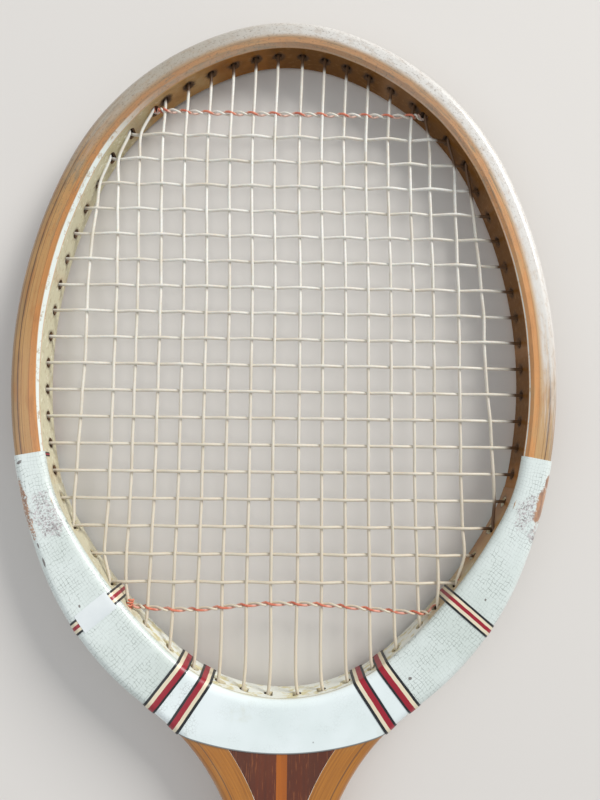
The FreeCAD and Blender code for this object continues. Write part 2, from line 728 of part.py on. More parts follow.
def grip_wrap():
    """Leather strip wound round the octagon, each turn laid beside the last."""
    per_turn = 8
    width = WRAP_PITCH - WRAP_GAP
    turns = int(ceil((WRAP_HIGH - WRAP_LOW) / WRAP_PITCH)) + 1
    rings = []
    for step in range(per_turn * turns + 1):
        low = WRAP_LOW - WRAP_PITCH + step * WRAP_PITCH / per_turn
        ring = []
        for y, lift in ((low, 0.0), (low + width, 0.0), (low + width - WRAP_BEVEL, LEATHER),
                        (low + WRAP_BEVEL, LEATHER)):
            x, z = octagon(FLARE_TIP + FIT + flare_at(y) + lift)[step % per_turn]
            ring.append(V(x, y, z))
        rings.append(ring)
    corners = []
    for first, second in zip(rings, rings[1:]):
        for k in range(4):
            n = (k + 1) % 4
            corners += [(first[k], first[n], second[n]), (first[k], second[n], second[k])]
    for ring in (rings[0], rings[-1]):
        corners += [(ring[0], ring[1], ring[2]), (ring[0], ring[2], ring[3])]
    strip = solid_of([Part.Face(Part.makePolygon([a, b, c, a])) for a, b, c in corners])
    keep = Part.makeBox(4 * CORE_X, WRAP_HIGH - WRAP_LOW, 4 * CORE_X, V(-2 * CORE_X, WRAP_LOW, -2 * CORE_X))
    return strip.common(keep)


grip_leather = grip_wrap()
collar_low = WRAP_HIGH + WRAP_GAP
grip_collar = lofted([(collar_low, COLLAR_THICK), (collar_low + COLLAR_LENGTH, COLLAR_THICK)])
grip_collar = grip_collar.cut(prism(octagon(0.0), 0.0, LENGTH))
cap_size = FLARE_TIP + FLARE + FIT + LEATHER
butt_cap = lofted([(0.0, cap_size - CAP_ROUND), (CAP_ROUND * 0.7, cap_size), (BUTT_CAP, cap_size)])

NODES = {
    "inner_ply": inner_ply, "outer_ply": outer_ply, "throat_yoke": yoke,
    "wedge_left": wedge_left, "wedge_right": wedge_right, "centre_strip": centre_strip,
    "linen_left": linen_left, "linen_right": linen_right,
    "main_string": main_string, "cross_string": cross_string,
    "treble_top": treble_top, "treble_low": treble_low,
    "cheek_front": cheek_front, "cheek_back": cheek_back, "slip_left": slip_left, "slip_right": slip_right,
    "butt_flare": butt_flare, "grip_leather": grip_leather, "grip_collar": grip_collar,
    "butt_cap": butt_cap,
}

for name, shape in NODES.items():
    shape.exportStep("parts/" + name + ".step")
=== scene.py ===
import bpy
import bmesh
import numpy as np
from math import atan2, ceil, cos, degrees, hypot, pi, radians, sin, sqrt
from mathutils import Matrix, Vector
from mathutils.kdtree import KDTree


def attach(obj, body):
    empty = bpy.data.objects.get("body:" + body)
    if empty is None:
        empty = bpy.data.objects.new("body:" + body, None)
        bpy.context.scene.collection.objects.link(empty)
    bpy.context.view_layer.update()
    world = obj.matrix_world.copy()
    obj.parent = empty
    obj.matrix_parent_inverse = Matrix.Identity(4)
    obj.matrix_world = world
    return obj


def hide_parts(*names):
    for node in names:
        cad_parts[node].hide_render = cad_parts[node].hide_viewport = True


# Looks of the wooden racket with an oval head.  The pieces are worked out in millimetres and
# made in metres; X across, +Y to the tip of the head, +Z out of the front of the strings.

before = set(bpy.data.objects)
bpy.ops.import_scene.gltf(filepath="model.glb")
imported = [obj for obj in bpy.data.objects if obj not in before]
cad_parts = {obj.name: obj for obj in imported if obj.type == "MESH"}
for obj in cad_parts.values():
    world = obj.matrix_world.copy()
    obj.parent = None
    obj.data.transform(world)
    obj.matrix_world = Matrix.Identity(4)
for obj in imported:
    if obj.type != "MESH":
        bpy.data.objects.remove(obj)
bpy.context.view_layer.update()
MM = 0.001

# ---- camera: above the throat, looking at the middle of the head ----
VIEW_TURN = (-0.0895503922, 0.0246610463, -0.010765402)
VIEW_SHIFT = (-6.35367189, 20.9595526, -271.831498)
GRID_X, GRID_Y = -0.6, 535.9          # middle of the string grid
turn = (Matrix.Rotation(VIEW_TURN[0], 3, 'X') @ Matrix.Rotation(VIEW_TURN[1], 3, 'Y')
        @ Matrix.Rotation(VIEW_TURN[2], 3, 'Z'))
back = turn.transposed()
eye = back @ (-Vector(VIEW_SHIFT)) + Vector((GRID_X, GRID_Y, 0.0))
camera_data = bpy.data.cameras.new("camera")
camera_data.lens = 27.675
camera_data.sensor_width = 36.0
camera_data.clip_start = 0.01
camera = bpy.data.objects.new("camera", camera_data)
camera.matrix_world = Matrix.Translation(eye * MM) @ back.to_4x4()
bpy.context.scene.collection.objects.link(camera)
bpy.context.scene.camera = camera
bpy.context.scene.view_settings.view_transform = 'Standard'

# ---- sizes shared with the solids ----
LENGTH, DEPTH, HEAD_OPENING = 686.0, 18.0, 282.2
BOW, PLY_INNER = 12.7, 10.1           # how wide the bow is, and how far out its groove's floor lies
HALF = DEPTH / 2.0
CROWN, SHOULDER = (67.3, 17.1), (107.5, 47.6)         # radius and degrees
SIDE, LOWER = (201.4, 48.2), (117.1, 29.2)
REVERSE_R = 104.0
THROAT_R, THROAT_TURN = 70.0, 41.0
CHEEK_R, CHEEK_LENGTH = 220.0, 73.0
YOKE_DEPTH, YOKE_TIP = 9.0, 0.3
STRIP, BUTT_CAP = 4.3, 2.4
BEVEL, ROUND = 1.8, 3.8               # inner edge of the bow cut off, outer edge rounded
GUT_R, TREBLE_R = 0.7, 0.45
MAIN_INNER, MAIN_PITCH, MAINS_A_SIDE = 5.6, 10.15, 9
MAIN_OUTER = 88.0                     # the outermost main, at the grid's middle
CROSSES, CROSS_PITCH = 18, 11.69
CROSS_SPAN = (CROSSES - 1) * CROSS_PITCH / 2.0
TREBLE_TOP, TREBLE_LOW = 110.3, -108.8
HOLE_STAGGER = 1.35                   # holes of the mains forward, of the crosses back
GROOVE_HALF = 2.5
TIP_INSIDE = LENGTH - BOW
THROAT_INSIDE = TIP_INSIDE - HEAD_OPENING
SHAFT_INSIDE = STRIP / 2.0
SHAFT_OUTSIDE = SHAFT_INSIDE + BOW
LAST = MAINS_A_SIDE - 1
CHAIN_STEP = 0.2


# ---- tangent chains ----
class Chain:
    """Arcs and straights from the tip down the right side, sampled closely.

    A negative distance is the same place on the left side."""

    def __init__(self, moves):
        x, y, heading, start, columns = 0.0, TIP_INSIDE, 0.0, 0.0, []
        for kind, size, angle in moves:
            if kind == "ahead":
                along = np.linspace(0.0, size, max(2, int(ceil(size / CHAIN_STEP))) + 1)
                xs, ys = x + along * cos(heading), y + along * sin(heading)
                facing = np.full(len(along), heading)
            else:
                side = 1.0 if kind == "right" else -1.0
                swing = radians(angle)
                share = np.linspace(0.0, 1.0, max(2, int(ceil(size * swing / CHAIN_STEP))) + 1)
                cx, cy = x + side * size * sin(heading), y - side * size * cos(heading)
                facing = heading - side * share * swing
                xs, ys = cx - side * size * np.sin(facing), cy + side * size * np.cos(facing)
                along = share * size * swing
            columns.append(np.stack([along + start, xs, ys, facing])[:, 1 if columns else 0:])
            start, x, y, heading = columns[-1][:, -1]
        self.s, self.x, self.y, self.facing = np.concatenate(columns, 1)
        self.nx, self.ny = -np.sin(self.facing), np.cos(self.facing)
        self.length = self.s[-1]
        self.tree = KDTree(len(self.s))
        for i, (px, py) in enumerate(zip(self.x, self.y)):
            self.tree.insert((px, py, 0.0), i)
        self.tree.balance()

    def look(self, s):
        """Places at distances along, and the ways square out of the chain there."""
        s = np.asarray(s, float)
        side = np.where(s < 0, -1.0, 1.0)
        x, y, nx, ny = (np.interp(np.abs(s), self.s, column) for column in (self.x, self.y, self.nx, self.ny))
        return np.stack([side * x, y], -1), np.stack([side * nx, ny], -1)

    def at(self, s, away=0.0):
        place, out = self.look(s)
        return place + out * np.asarray(away, float)[..., None]

    def feet(self, points):
        """(distance along, signed distance off) of each point, on its own side."""
        points = np.asarray(points, float).reshape(-1, 2)
        along, off = np.empty(len(points)), np.empty(len(points))
        for k, (px, py) in enumerate(points):
            i = self.tree.find((abs(px), py, 0.0))[1]
            dx, dy = abs(px) - self.x[i], py - self.y[i]
            along[k] = self.s[i] + dx * self.ny[i] - dy * self.nx[i]
            off[k] = dx * self.nx[i] + dy * self.ny[i]
        return along, off

    def first(self, values, last=False):
        """Distance along at which sampled values change sign."""
        flips = np.nonzero(np.sign(values[1:]) != np.sign(values[:-1]))[0]
        i = flips[-1] if last else flips[0]
        a, b = values[i], values[i + 1]
        return self.s[i] + (self.s[i + 1] - self.s[i]) * a / (a - b)


def bow_moves():
    head = [("right", *CROWN), ("right", *SHOULDER), ("right", *SIDE), ("right", *LOWER)]
    rough = Chain(head)
    lean = abs(rough.facing[-1] + pi / 2.0)
    inward = REVERSE_R * (1.0 - cos(lean))
    straight = (rough.x[-1] - SHAFT_INSIDE - inward) / sin(lean)
    low_y = rough.y[-1] - straight * cos(lean) - REVERSE_R * sin(lean)
    return head + [("ahead", straight, 0.0), ("left", REVERSE_R, degrees(lean)), ("ahead", low_y - BUTT_CAP, 0.0)]


def opening_moves():
    angle = radians(THROAT_TURN)
    throat = np.array([0.0, THROAT_INSIDE + THROAT_R])
    cheek = throat + (CHEEK_R - THROAT_R) * np.array([-sin(angle), cos(angle)])
    angle += CHEEK_LENGTH / CHEEK_R
    normal = np.array([sin(angle), -cos(angle)])
    join = cheek + normal * CHEEK_R
    reach = join - side_c
    haunch_r = (reach @ reach - SIDE[0] ** 2) / (2.0 * (reach @ normal - SIDE[0]))
    haunch = join - normal * haunch_r
    below = -degrees(atan2(haunch[1] - side_c[1], haunch[0] - side_c[0]))
    cheek_turn = degrees(CHEEK_LENGTH / CHEEK_R)
    return [("right", *CROWN), ("right", *SHOULDER), ("right", SIDE[0], 90.0 + below - CROWN[1] - SHOULDER[1]),
            ("right", haunch_r, 90.0 - THROAT_TURN - cheek_turn - below),
            ("right", CHEEK_R, cheek_turn), ("right", THROAT_R, THROAT_TURN)]


swung = radians(CROWN[1] + SHOULDER[1])
crown_c = np.array([0.0, TIP_INSIDE - CROWN[0]])
shoulder_c = crown_c + (CROWN[0] - SHOULDER[0]) * np.array([sin(radians(CROWN[1])), cos(radians(CROWN[1]))])
side_c = shoulder_c + (SHOULDER[0] - SIDE[0]) * np.array([sin(swung), cos(swung)])
BOW_LINE, OPENING = Chain(bow_moves()), Chain(opening_moves())


# ---- string places ----
def main_x(number, height):
    """Distance of a main from the middle; the outermost leans in at the top and out below."""
    if number < LAST:
        return (MAIN_INNER + number * MAIN_PITCH) * (1.0 + 0.035 * max(0.0, -height - 60.0) / 80.0)
    if height > 0:
        return MAIN_OUTER - 5.7 * (max(0.0, height - 15.0) / 65.0) ** 1.2
    return MAIN_OUTER + 2.3 * min(1.0, -height / 70.0)


def hole(s_opening):
    mouth = OPENING.at(s_opening)
    along = BOW_LINE.feet([mouth])[0][0]
    floor = BOW_LINE.at(along, PLY_INNER)
    return {"mouth": mouth, "floor": floor, "way": (floor - mouth) / np.linalg.norm(floor - mouth), "along": along}


def main_hole(number, upper):
    gap = OPENING.x - np.array([main_x(number, y - GRID_Y) for y in OPENING.y])
    return hole(OPENING.first(gap, last=not upper))


def cross_hole(height):
    return hole(OPENING.first(OPENING.y - GRID_Y - height))


HEIGHTS = [j * CROSS_PITCH - CROSS_SPAN for j in range(CROSSES)]
SIDE_HOLES = [cross_hole(h) for h in HEIGHTS]
TREBLES = {"top": cross_hole(TREBLE_TOP), "low": cross_hole(TREBLE_LOW)}
SHARED_TOP = {LAST: SIDE_HOLES[-2], LAST - 1: SIDE_HOLES[-1], LAST - 2: TREBLES["top"]}
SHARED_LOW = {LAST: SIDE_HOLES[2], LAST - 1: SIDE_HOLES[0], LAST - 2: TREBLES["low"]}
TOP_HOLES = [SHARED_TOP.get(k) or main_hole(k, True) for k in range(MAINS_A_SIDE)]
LOW_HOLES = [SHARED_LOW.get(k) or main_hole(k, False) for k in range(MAINS_A_SIDE)]
SHARED = list(SHARED_TOP.values()) + list(SHARED_LOW.values())
GROOVE_END = max(h["along"] for h in LOW_HOLES)


# ---- meshes ----
def smooth_step(low, high, x):
    t = np.clip((np.asarray(x, float) - low) / (high - low), 0.0, 1.0)
    return t * t * (3.0 - 2.0 * t)


def ring_faces(rows, columns, close_columns=True, close_rows=False):
    """Quads of a grid of rows x columns points; a tube that is open at its ends gets end caps."""
    faces = []
    for i in range(rows if close_rows else rows - 1):
        n = (i + 1) % rows
        for k in range(columns if close_columns else columns - 1):
            m = (k + 1) % columns
            faces.append((i * columns + k, i * columns + m, n * columns + m, n * columns + k))
    if close_columns and not close_rows:
        faces.append(tuple(range(columns)))
        faces.append(tuple(range((rows - 1) * columns, rows * columns))[::-1])
    return faces


def all_smooth(mesh, angle):
    mesh.polygons.foreach_set("use_smooth", [True] * len(mesh.polygons))
    mesh.set_sharp_from_angle(angle=radians(angle))


def piece(name, shells, paints, slot=None, stands_for=(), angle=40.0, merge=2e-6):
    """Mesh object from shells of (points in millimetres, faces, texture place of each point)."""
    points, faces, uvs, count = [], [], [], 0
    for spots, rings, places in shells:
        points.append(np.asarray(spots, float).reshape(-1, 3) * MM)
        faces += [tuple(count + k for k in ring) for ring in rings]
        uvs.append(np.asarray(places, np.float32).reshape(-1, 2))
        count += len(points[-1])
    mesh = bpy.data.meshes.new(name)
    mesh.from_pydata([tuple(p) for p in np.concatenate(points)], [], faces)
    corner = np.empty(len(mesh.loops), np.int32)
    mesh.loops.foreach_get("vertex_index", corner)
    mesh.uv_layers.new(name="uv").data.foreach_set("uv", np.concatenate(uvs)[corner].ravel())
    work = bmesh.new()
    work.from_mesh(mesh)
    bmesh.ops.remove_doubles(work, verts=work.verts, dist=merge)
    bmesh.ops.dissolve_degenerate(work, edges=work.edges, dist=merge)
    bmesh.ops.recalc_face_normals(work, faces=work.faces)
    work.to_mesh(mesh)
    work.free()
    all_smooth(mesh, angle)
    for paint in paints:
        mesh.materials.append(paint)
    thing = bpy.data.objects.new(name, mesh)
    bpy.context.scene.collection.objects.link(thing)
    if slot:
        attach(thing, "root")
        if stands_for:
            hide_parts(*stands_for)
    return thing


def swept(line, stations, section_at, face=1.0):
    """Shell of a section of (distance off a chain, height) carried along the chain."""
    points, uvs = [], []
    for s in stations:
        section = section_at(s)
        ring = line.at(np.full(len(section), s), np.array([a for a, z in section]))
        points += [(x, y, z * face) for (x, y), (a, z) in zip(ring, section)]
        uvs += [(s * MM, a * MM) for a, z in section]
    return points, ring_faces(len(stations), len(section)), uvs


# ---- materials ----
def rgb(*values):
    """Colour as seen on a screen, 0 to 255, made linear."""
    return tuple((c / 255 / 12.92 if c <= 10 else ((c / 255 + 0.055) / 1.055) ** 2.4) for c in values) + (1.0,)


class Wire:
    """Output of a node, for plain arithmetic between shader values."""

    def __init__(self, paint, socket):
        self.paint, self.socket = paint, socket

    def __add__(self, other):
        return self.paint.math("ADD", self, other)

    def __sub__(self, other):
        return self.paint.math("SUBTRACT", self, other)

    def __rsub__(self, other):
        return self.paint.math("SUBTRACT", other, self)

    def __mul__(self, other):
        return self.paint.math("MULTIPLY", self, other)

    def __abs__(self):
        return self.paint.math("ABSOLUTE", self)

    def step(self, low, high, start=0.0, end=1.0):
        """Smooth change from start, where this is low, to end, where it is high."""
        return self.paint.node("MapRange", {"Value": self, "From Min": low, "From Max": high,
                                            "To Min": start, "To Max": end}, interpolation_type="SMOOTHSTEP")

    def fade(self, low, high, a, b, most=1.0):
        """Colour a where this is low, turning to colour b by the most share where it is high."""
        return self.paint.mix(self.step(low, high, 0.0, most), a, b)

    def sway(self, amount):
        """Noise as a shift to both sides."""
        return (self - 0.5) * amount


class Paint:
    """Principled material with short calls for its nodes."""

    def __init__(self, name, **constants):
        self.material = bpy.data.materials.new(name)
        self.material.use_nodes = True
        self.tree = self.material.node_tree
        self.tree.nodes.clear()
        output = self.tree.nodes.new("ShaderNodeOutputMaterial")
        self.shader = self.tree.nodes.new("ShaderNodeBsdfPrincipled")
        self.tree.links.new(self.shader.outputs[0], output.inputs["Surface"])
        self.dress(constants)

    def dress(self, values):
        for key, value in values.items():
            self.put(self.shader.inputs[key.replace("_", " ")], value)

    def finished(self, colour, **values):
        self.dress({"Base_Color": colour, **values})
        return self.material

    def put(self, socket, value):
        if isinstance(value, Wire):
            self.tree.links.new(value.socket, socket)
        else:
            socket.default_value = value

    def node(self, kind, inputs=None, out=0, **settings):
        made = self.tree.nodes.new("ShaderNode" + kind)
        for key, value in settings.items():
            setattr(made, key, value)
        for key, value in (inputs or {}).items():
            self.put(made.inputs[key], value)
        return Wire(self, made.outputs[out])

    def math(self, operation, a, b=0.0):
        return self.node("Math", {0: a, 1: b}, operation=operation)

    @property
    def here(self):
        return self.node("TexCoord", out="Object")

    @property
    def uv(self):
        return self.node("UVMap", uv_map="uv")

    def axes(self, vector):
        made = self.tree.nodes.new("ShaderNodeSeparateXYZ")
        self.put(made.inputs[0], vector)
        return [Wire(self, socket) for socket in made.outputs]

    def join(self, x, y=0.0):
        return self.node("CombineXYZ", {0: x, 1: y})

    def noise(self, where, scale=1.0, detail=3.0, rough=0.5, bend=0.0):
        """Noise at a vector; a scale of three numbers stretches it."""
        if isinstance(scale, tuple):
            where, scale = self.node("Mapping", {"Vector": where, "Scale": scale}), 1.0
        return self.node("TexNoise", {"Vector": where, "Scale": scale, "Detail": detail, "Roughness": rough,
                                      "Distortion": bend})

    def cells(self, where, scale=1.0, feature='F1'):
        return self.node("TexVoronoi", {"Vector": where, "Scale": scale}, feature=feature)

    def ramp(self, value, stops, interpolation="LINEAR"):
        made = self.tree.nodes.new("ShaderNodeValToRGB")
        made.color_ramp.interpolation = interpolation
        marks = made.color_ramp.elements
        while len(marks) < len(stops):
            marks.new(0.5)
        for mark, (place, colour) in zip(marks, stops):
            mark.position, mark.color = place, colour
        self.put(made.inputs[0], value)
        return Wire(self, made.outputs[0])

    def mix(self, share, a, b, blend="MIX"):
        return self.node("Mix", {0: share, 6: a, 7: b}, out=2, data_type='RGBA', blend_type=blend)

    def length(self, a, b):
        return self.math("SQRT", a * a + b * b)

    def phase(self, value):
        """Place within each whole step of a value, -0.5 to 0.5."""
        return self.math("FRACT", value) - 0.5

    def bump(self, height, strength, distance, normal=None):
        inputs = {"Height": height, "Strength": strength, "Distance": distance}
        if normal is not None:
            inputs["Normal"] = normal
        return self.node("Bump", inputs)

    def spot(self, place, x, y, wide, tall, lean):
        """Distance from a spot on the front, 0 at its middle and 1 at its rim."""
        c, s = cos(radians(lean)), sin(radians(lean))
        dx, dy = place[0] - x * MM, place[1] - y * MM
        return self.length(dx * (c / (wide * MM)) + dy * (s / (wide * MM)),
                           dx * (-s / (tall * MM)) + dy * (c / (tall * MM)))


def solid_wood(name, light, dark, pore, pores=0.0, rough=0.34, coat=0.35):
    """Lacquered wood with its grain along the racket."""
    p = Paint(name, Coat_Weight=coat, Coat_Roughness=0.16)
    broad = p.noise(p.here, (90, 5, 90), 4.0, 0.6, 0.6)
    fine = p.noise(p.here, (900, 18, 900), 3.0, 0.65)
    base = fine.fade(0.35, 0.7, p.ramp(broad, [(0.25, dark), (0.75, light)]), dark, 0.45)
    if pores:
        base = p.noise(p.here, (2600, 130, 2600), 2.0).fade(0.60, 0.68, base, pore, pores)
    base = p.noise(p.here, 26.0, 2.0).fade(0.3, 0.75, base, pore, 0.18)
    return p.finished(base, Roughness=fine.step(0.2, 0.8, rough - 0.08, rough + 0.12),
                      Normal=p.bump(fine, 0.12, 0.0003))


def hole_shade_rings(p, base, run, offset, pitch, z, level, share, ragged):
    """Painted shade about a row of string holes spaced evenly along one axis: the wall darkened round each hole."""
    near = p.phase(run * (1.0 / (pitch * MM)) + (offset / pitch + 0.5)) * (pitch * MM)
    far = p.length(near, z - level * MM) + ragged.sway(0.004)
    return p.mix(far.step(0.0036, 0.0018) * share, base, rgb(66, 46, 28))


def lining_colour(p, place):
    """Wall round the opening: cream below and on the left, tan at the lower right, brown above; the wood's own colour
    with painted light and shade, paler on the walls that face the light and darker on those in shade.
    """
    x, y, z = place
    height = y - GRID_Y * MM
    # painted light and shade: pale on the left and below, where the wall faces the light, dark up and to the right,
    # where it lies in shade
    tone = (x * 4.0 + height * 2.6 + p.noise(p.here, 45.0).sway(0.5)).step(-0.30, 0.36)
    base = p.ramp(tone, [(0.0, rgb(200, 194, 166)), (0.32, rgb(188, 178, 142)), (0.66, rgb(176, 136, 84)),
                         (0.90, rgb(146, 94, 38)), (1.0, rgb(106, 67, 20))])
    base = p.noise(p.here, (400, 400, 900)).fade(0.52, 0.75, base, rgb(148, 112, 70), 0.45)
    scuffs = p.noise(p.here, (260, 260, 420), 4.0, 0.7)
    base = p.mix(scuffs.step(0.56, 0.68, 0.0, 0.7) * tone.step(0.75, 0.3), base, rgb(230, 226, 206))
    # painted shade round the string holes: of the crosses on the sides, and of the mains at the top
    base = hole_shade_rings(p, base, height, -HEIGHTS[0], CROSS_PITCH, z, -HOLE_STAGGER,
                       abs(x).step(0.080, 0.088, 0.0, 0.6), scuffs)
    base = hole_shade_rings(p, base, abs(x), -MAIN_INNER, MAIN_PITCH, z, HOLE_STAGGER,
                       height.step(0.075, 0.090, 0.0, 0.95) * abs(x).step(0.0610, 0.0600), scuffs)
    # the wall between and below the bands was enamelled too, and has yellowed in places
    low = y.step((GRID_Y - 104.0) * MM, (GRID_Y - 119.0) * MM)
    yellow = p.noise(p.here, (150, 150, 260), 4.0, 0.65)
    white = yellow.fade(0.49, 0.60, rgb(228, 231, 222), rgb(208, 198, 150))
    white = yellow.fade(0.70, 0.76, white, rgb(190, 150, 120), 0.7)
    edge = (abs(x) + yellow * 0.02).step(0.078, 0.066)
    return p.mix(low * edge, base, white), scuffs


# glue lines between the plies: how far out, half width, strength
GLUE_LINES = ((4.1, 0.10, 0.4), (7.2, 0.12, 0.5), (8.7, 0.17, 0.95), (10.6, 0.10, 0.5), (11.8, 0.10, 0.5))


def bow_paint():
    """Laminated bow: plies side by side across the front, lacquered and worn."""
    p = Paint("bow_lacquer", Coat_Roughness=0.12)
    x, y, z = place = p.axes(p.here)
    along, across = p.axes(p.uv)[:2]                  # metres along the bow and away from its inside
    across = across + p.noise(p.join(along * 30.0), 1.0, 2.0).sway(0.0005)
    height = y - GRID_Y * MM

    def streaks(run, aside, detail, rough, bend=0.0):
        return p.noise(p.join(along * run, across * aside), 1.0, detail, rough, bend)

    orange, deep, tan = rgb(206, 146, 88), rgb(174, 120, 68), rgb(192, 154, 104)
    pale, brown, dark = rgb(176, 148, 110), rgb(142, 110, 74), rgb(88, 64, 46)
    ply = p.ramp(across * (1.0 / (BOW * MM)), [
        (0.0, orange), (0.30, orange), (0.36, tan), (0.60, tan), (0.66, brown), (0.78, pale), (1.0, brown)])
    # the lacquer's colour comes and goes in long blotches
    blotch = streaks(55.0, 190.0, 4.0, 0.6)
    grain = streaks(26.0, 1500.0, 4.0, 0.6, 0.3)
    fine = streaks(160.0, 5200.0, 3.0, 0.7)
    ply = blotch.fade(0.50, 0.64, ply, tan, 0.62)
    ply = blotch.fade(0.48, 0.34, ply, deep, 0.45)
    ply = grain.fade(0.40, 0.75, ply, deep, 0.5)
    ply = fine.fade(0.52, 0.75, ply, dark, 0.35)
    for middle, wide, strength in GLUE_LINES:
        off = abs(across - middle * MM)
        ply = p.mix(off.step(wide * MM * 0.6, wide * MM * 1.5, strength, 0.0), ply, dark)
    # the limbs below the head are a deeper gold
    limb = y.step((GRID_Y - 150.0) * MM, (GRID_Y - 165.0) * MM)
    gold = grain.fade(0.3, 0.8, rgb(176, 113, 36), rgb(142, 86, 24))
    gold = blotch.fade(0.5, 0.7, gold, rgb(170, 118, 54), 0.5)
    gold = p.mix(abs(across - 8.2 * MM).step(0.00008, 0.0003, 0.8, 0.0), gold, dark)
    # painted shade: the left side of the front darker and browner, away from the light
    ply = p.mix(x.step(0.0, -0.07), ply, rgb(238, 228, 208), "MULTIPLY")
    ply = p.mix(limb, ply, gold)
    # streaked olive and orange above the middle
    weather = streaks(75.0, 800.0, 5.0, 0.75)
    upper = height.step(0.02, 0.085)
    ply = p.mix(upper * weather.step(0.50, 0.60, 0.0, 0.75), ply, rgb(128, 114, 88))
    ply = p.mix(upper * weather.step(0.46, 0.38, 0.0, 0.6), ply, rgb(190, 136, 84))
    # lacquer gone grey towards the tip, along the outer edge and down the right, where it is also painted highlight:
    # paler on the right, where the outer round faces the light, darker on the left
    mottle = streaks(220.0, 420.0, 5.0, 0.7)
    high = height + p.math("MAXIMUM", x * 0.75, x * 0.3) + streaks(60.0, 700.0, 4.0, 0.7).sway(0.09)
    worn = high.step(0.035, 0.105) * across.step(4.0 * MM, 6.6 * MM) * mottle.step(0.22, 0.55, 0.5, 0.97)
    ply = p.mix(height.step(0.06, 0.12) * 0.5, ply, rgb(140, 116, 92))
    # painted highlight: the grey turns pale on the right and stays darker on the left
    ply = p.mix(worn, ply, x.fade(-0.06, 0.03, rgb(166, 158, 144), rgb(214, 211, 205)))
    flecks = streaks(900.0, 1200.0, 3.0, 0.7)
    ply = flecks.fade(0.62, 0.70, ply, dark, 0.35)
    ply = p.mix(upper * flecks.step(0.54, 0.64, 0.0, 0.4), ply, rgb(104, 88, 70))
    # wall round the opening, with its painted light and shade
    ply = across.fade(0.0002, 0.00001, ply, lining_colour(p, place)[0])
    # bevel round the opening: bare whitish wood and old paint, gone brown at the top; the white is also painted
    # highlight, full on the left, where the bevel faces the light, and only a thin line on the right
    rim_far = across * height.step(0.03, -0.06, 1.0, 1.7)
    bevel = across.step(0.0001, 0.0004) * rim_far.step(0.0019, 0.0015)
    rim = streaks(300.0, 500.0, 4.0, 0.7).fade(0.52, 0.66, rgb(218, 226, 220), rgb(170, 142, 104), 0.7)
    tip_side = (height + x * 0.30).step(0.055, 0.10)
    # painted highlight: the white strip full width on the left, narrow on the right
    thin = x.fade(-0.02, 0.03, rgb(255, 255, 255), across.step(0.0007, 0.00045))
    ply = p.mix(bevel * (thin * (0.97 - tip_side * 0.85) * (1.0 - limb)), ply, rim)
    # outside wall and groove
    ply = p.mix(across.step((BOW - 0.05) * MM, BOW * MM) * 0.35, ply, rgb(168, 132, 92))
    dents = p.cells(p.join(along * 120.0, across * 200.0)).step(0.0, 0.16)
    return p.finished(ply, Roughness=mottle.step(0.2, 0.8, 0.26, 0.46),
                      Coat_Weight=across.step(0.00001, 0.0002, 0.08, 0.55),      # the wall is matt
                      Specular_IOR_Level=across.step(0.00001, 0.0002, 0.15, 0.5),
                      Normal=p.bump(dents, 0.10, 0.0002, p.bump(fine, 0.10, 0.0003)))


# places worn bare or mottled: x, y, half width, half height, lean, mottled share
WORN = (
    (-108.0, 470.0, 1.5, 8.0, 16.0, 0.25), (-105.0, 461.0, 1.7, 5.5, 22.0, 0.45), (-99.0, 465.0, 5.2, 9.0, 22.0, 0.85),
    (-94.5, 459.5, 3.0, 3.6, 20.0, 0.85), (108.4, 470.6, 2.8, 8.8, -20.0, 0.0),
    (111.2, 480.0, 1.2, 3.4, -8.0, 0.0), (101.5, 467.8, 3.8, 7.2, -20.0, 0.85), (104.5, 458.5, 2.2, 3.6, -24.0, 0.75),
)
# knocks: x, y, half width, half height, lean
DENTS = ((-110.7, 486.6, 1.5, 0.7, 35.0), (52.0, 400.3, 0.8, 0.65, 10.0), (83.6, 431.9, 0.55, 0.4, 60.0),
         (-83.4, 428.5, 0.5, 0.7, 20.0), (-98.6, 446.0, 0.45, 2.2, 22.0), (-101.2, 452.5, 0.4, 1.2, 22.0))


def cloth_wear(p, place, colour):
    """Worn places, knocks and specks on the front of the white shoulders."""
    fray = p.noise(p.here, 210.0, 5.0, 0.75).sway(2.6)
    grit = p.noise(p.here, 1150.0, 3.0, 0.7)
    front = (place[2] + fray * 0.0015).step(0.0020, 0.0042)
    bare = p.noise(p.here, (420, 160, 420), 4.0, 0.7).fade(0.35, 0.65, rgb(186, 142, 110), rgb(146, 112, 92))
    greyish = p.noise(p.here, 520.0, 4.0, 0.7).fade(0.42, 0.60, rgb(190, 183, 183), rgb(132, 122, 122))
    for *spot, mottled in WORN:
        worn = (p.spot(place, *spot) + fray).step(1.15, 0.80) * front
        if mottled:
            keep = 0.14 * (1.0 - mottled)
            worn = worn * (1.0 - grit.step(0.60 - keep, 0.48 - keep, 0.0, 0.9))
        colour = p.mix(worn, colour, greyish if mottled > 0.5 else bare)
    dots = p.cells(p.here, 260.0).step(0.12, 0.06) * p.noise(p.here, 38.0, 2.0).step(0.52, 0.64)
    colour = p.mix(dots * 0.8, colour, rgb(84, 76, 70))
    for dent in DENTS:
        dark = (p.spot(place, *dent) + fray * 0.8).step(1.15, 0.75, 0.0, 0.85) * front
        colour = p.mix(dark, colour, rgb(92, 80, 76))
    return colour


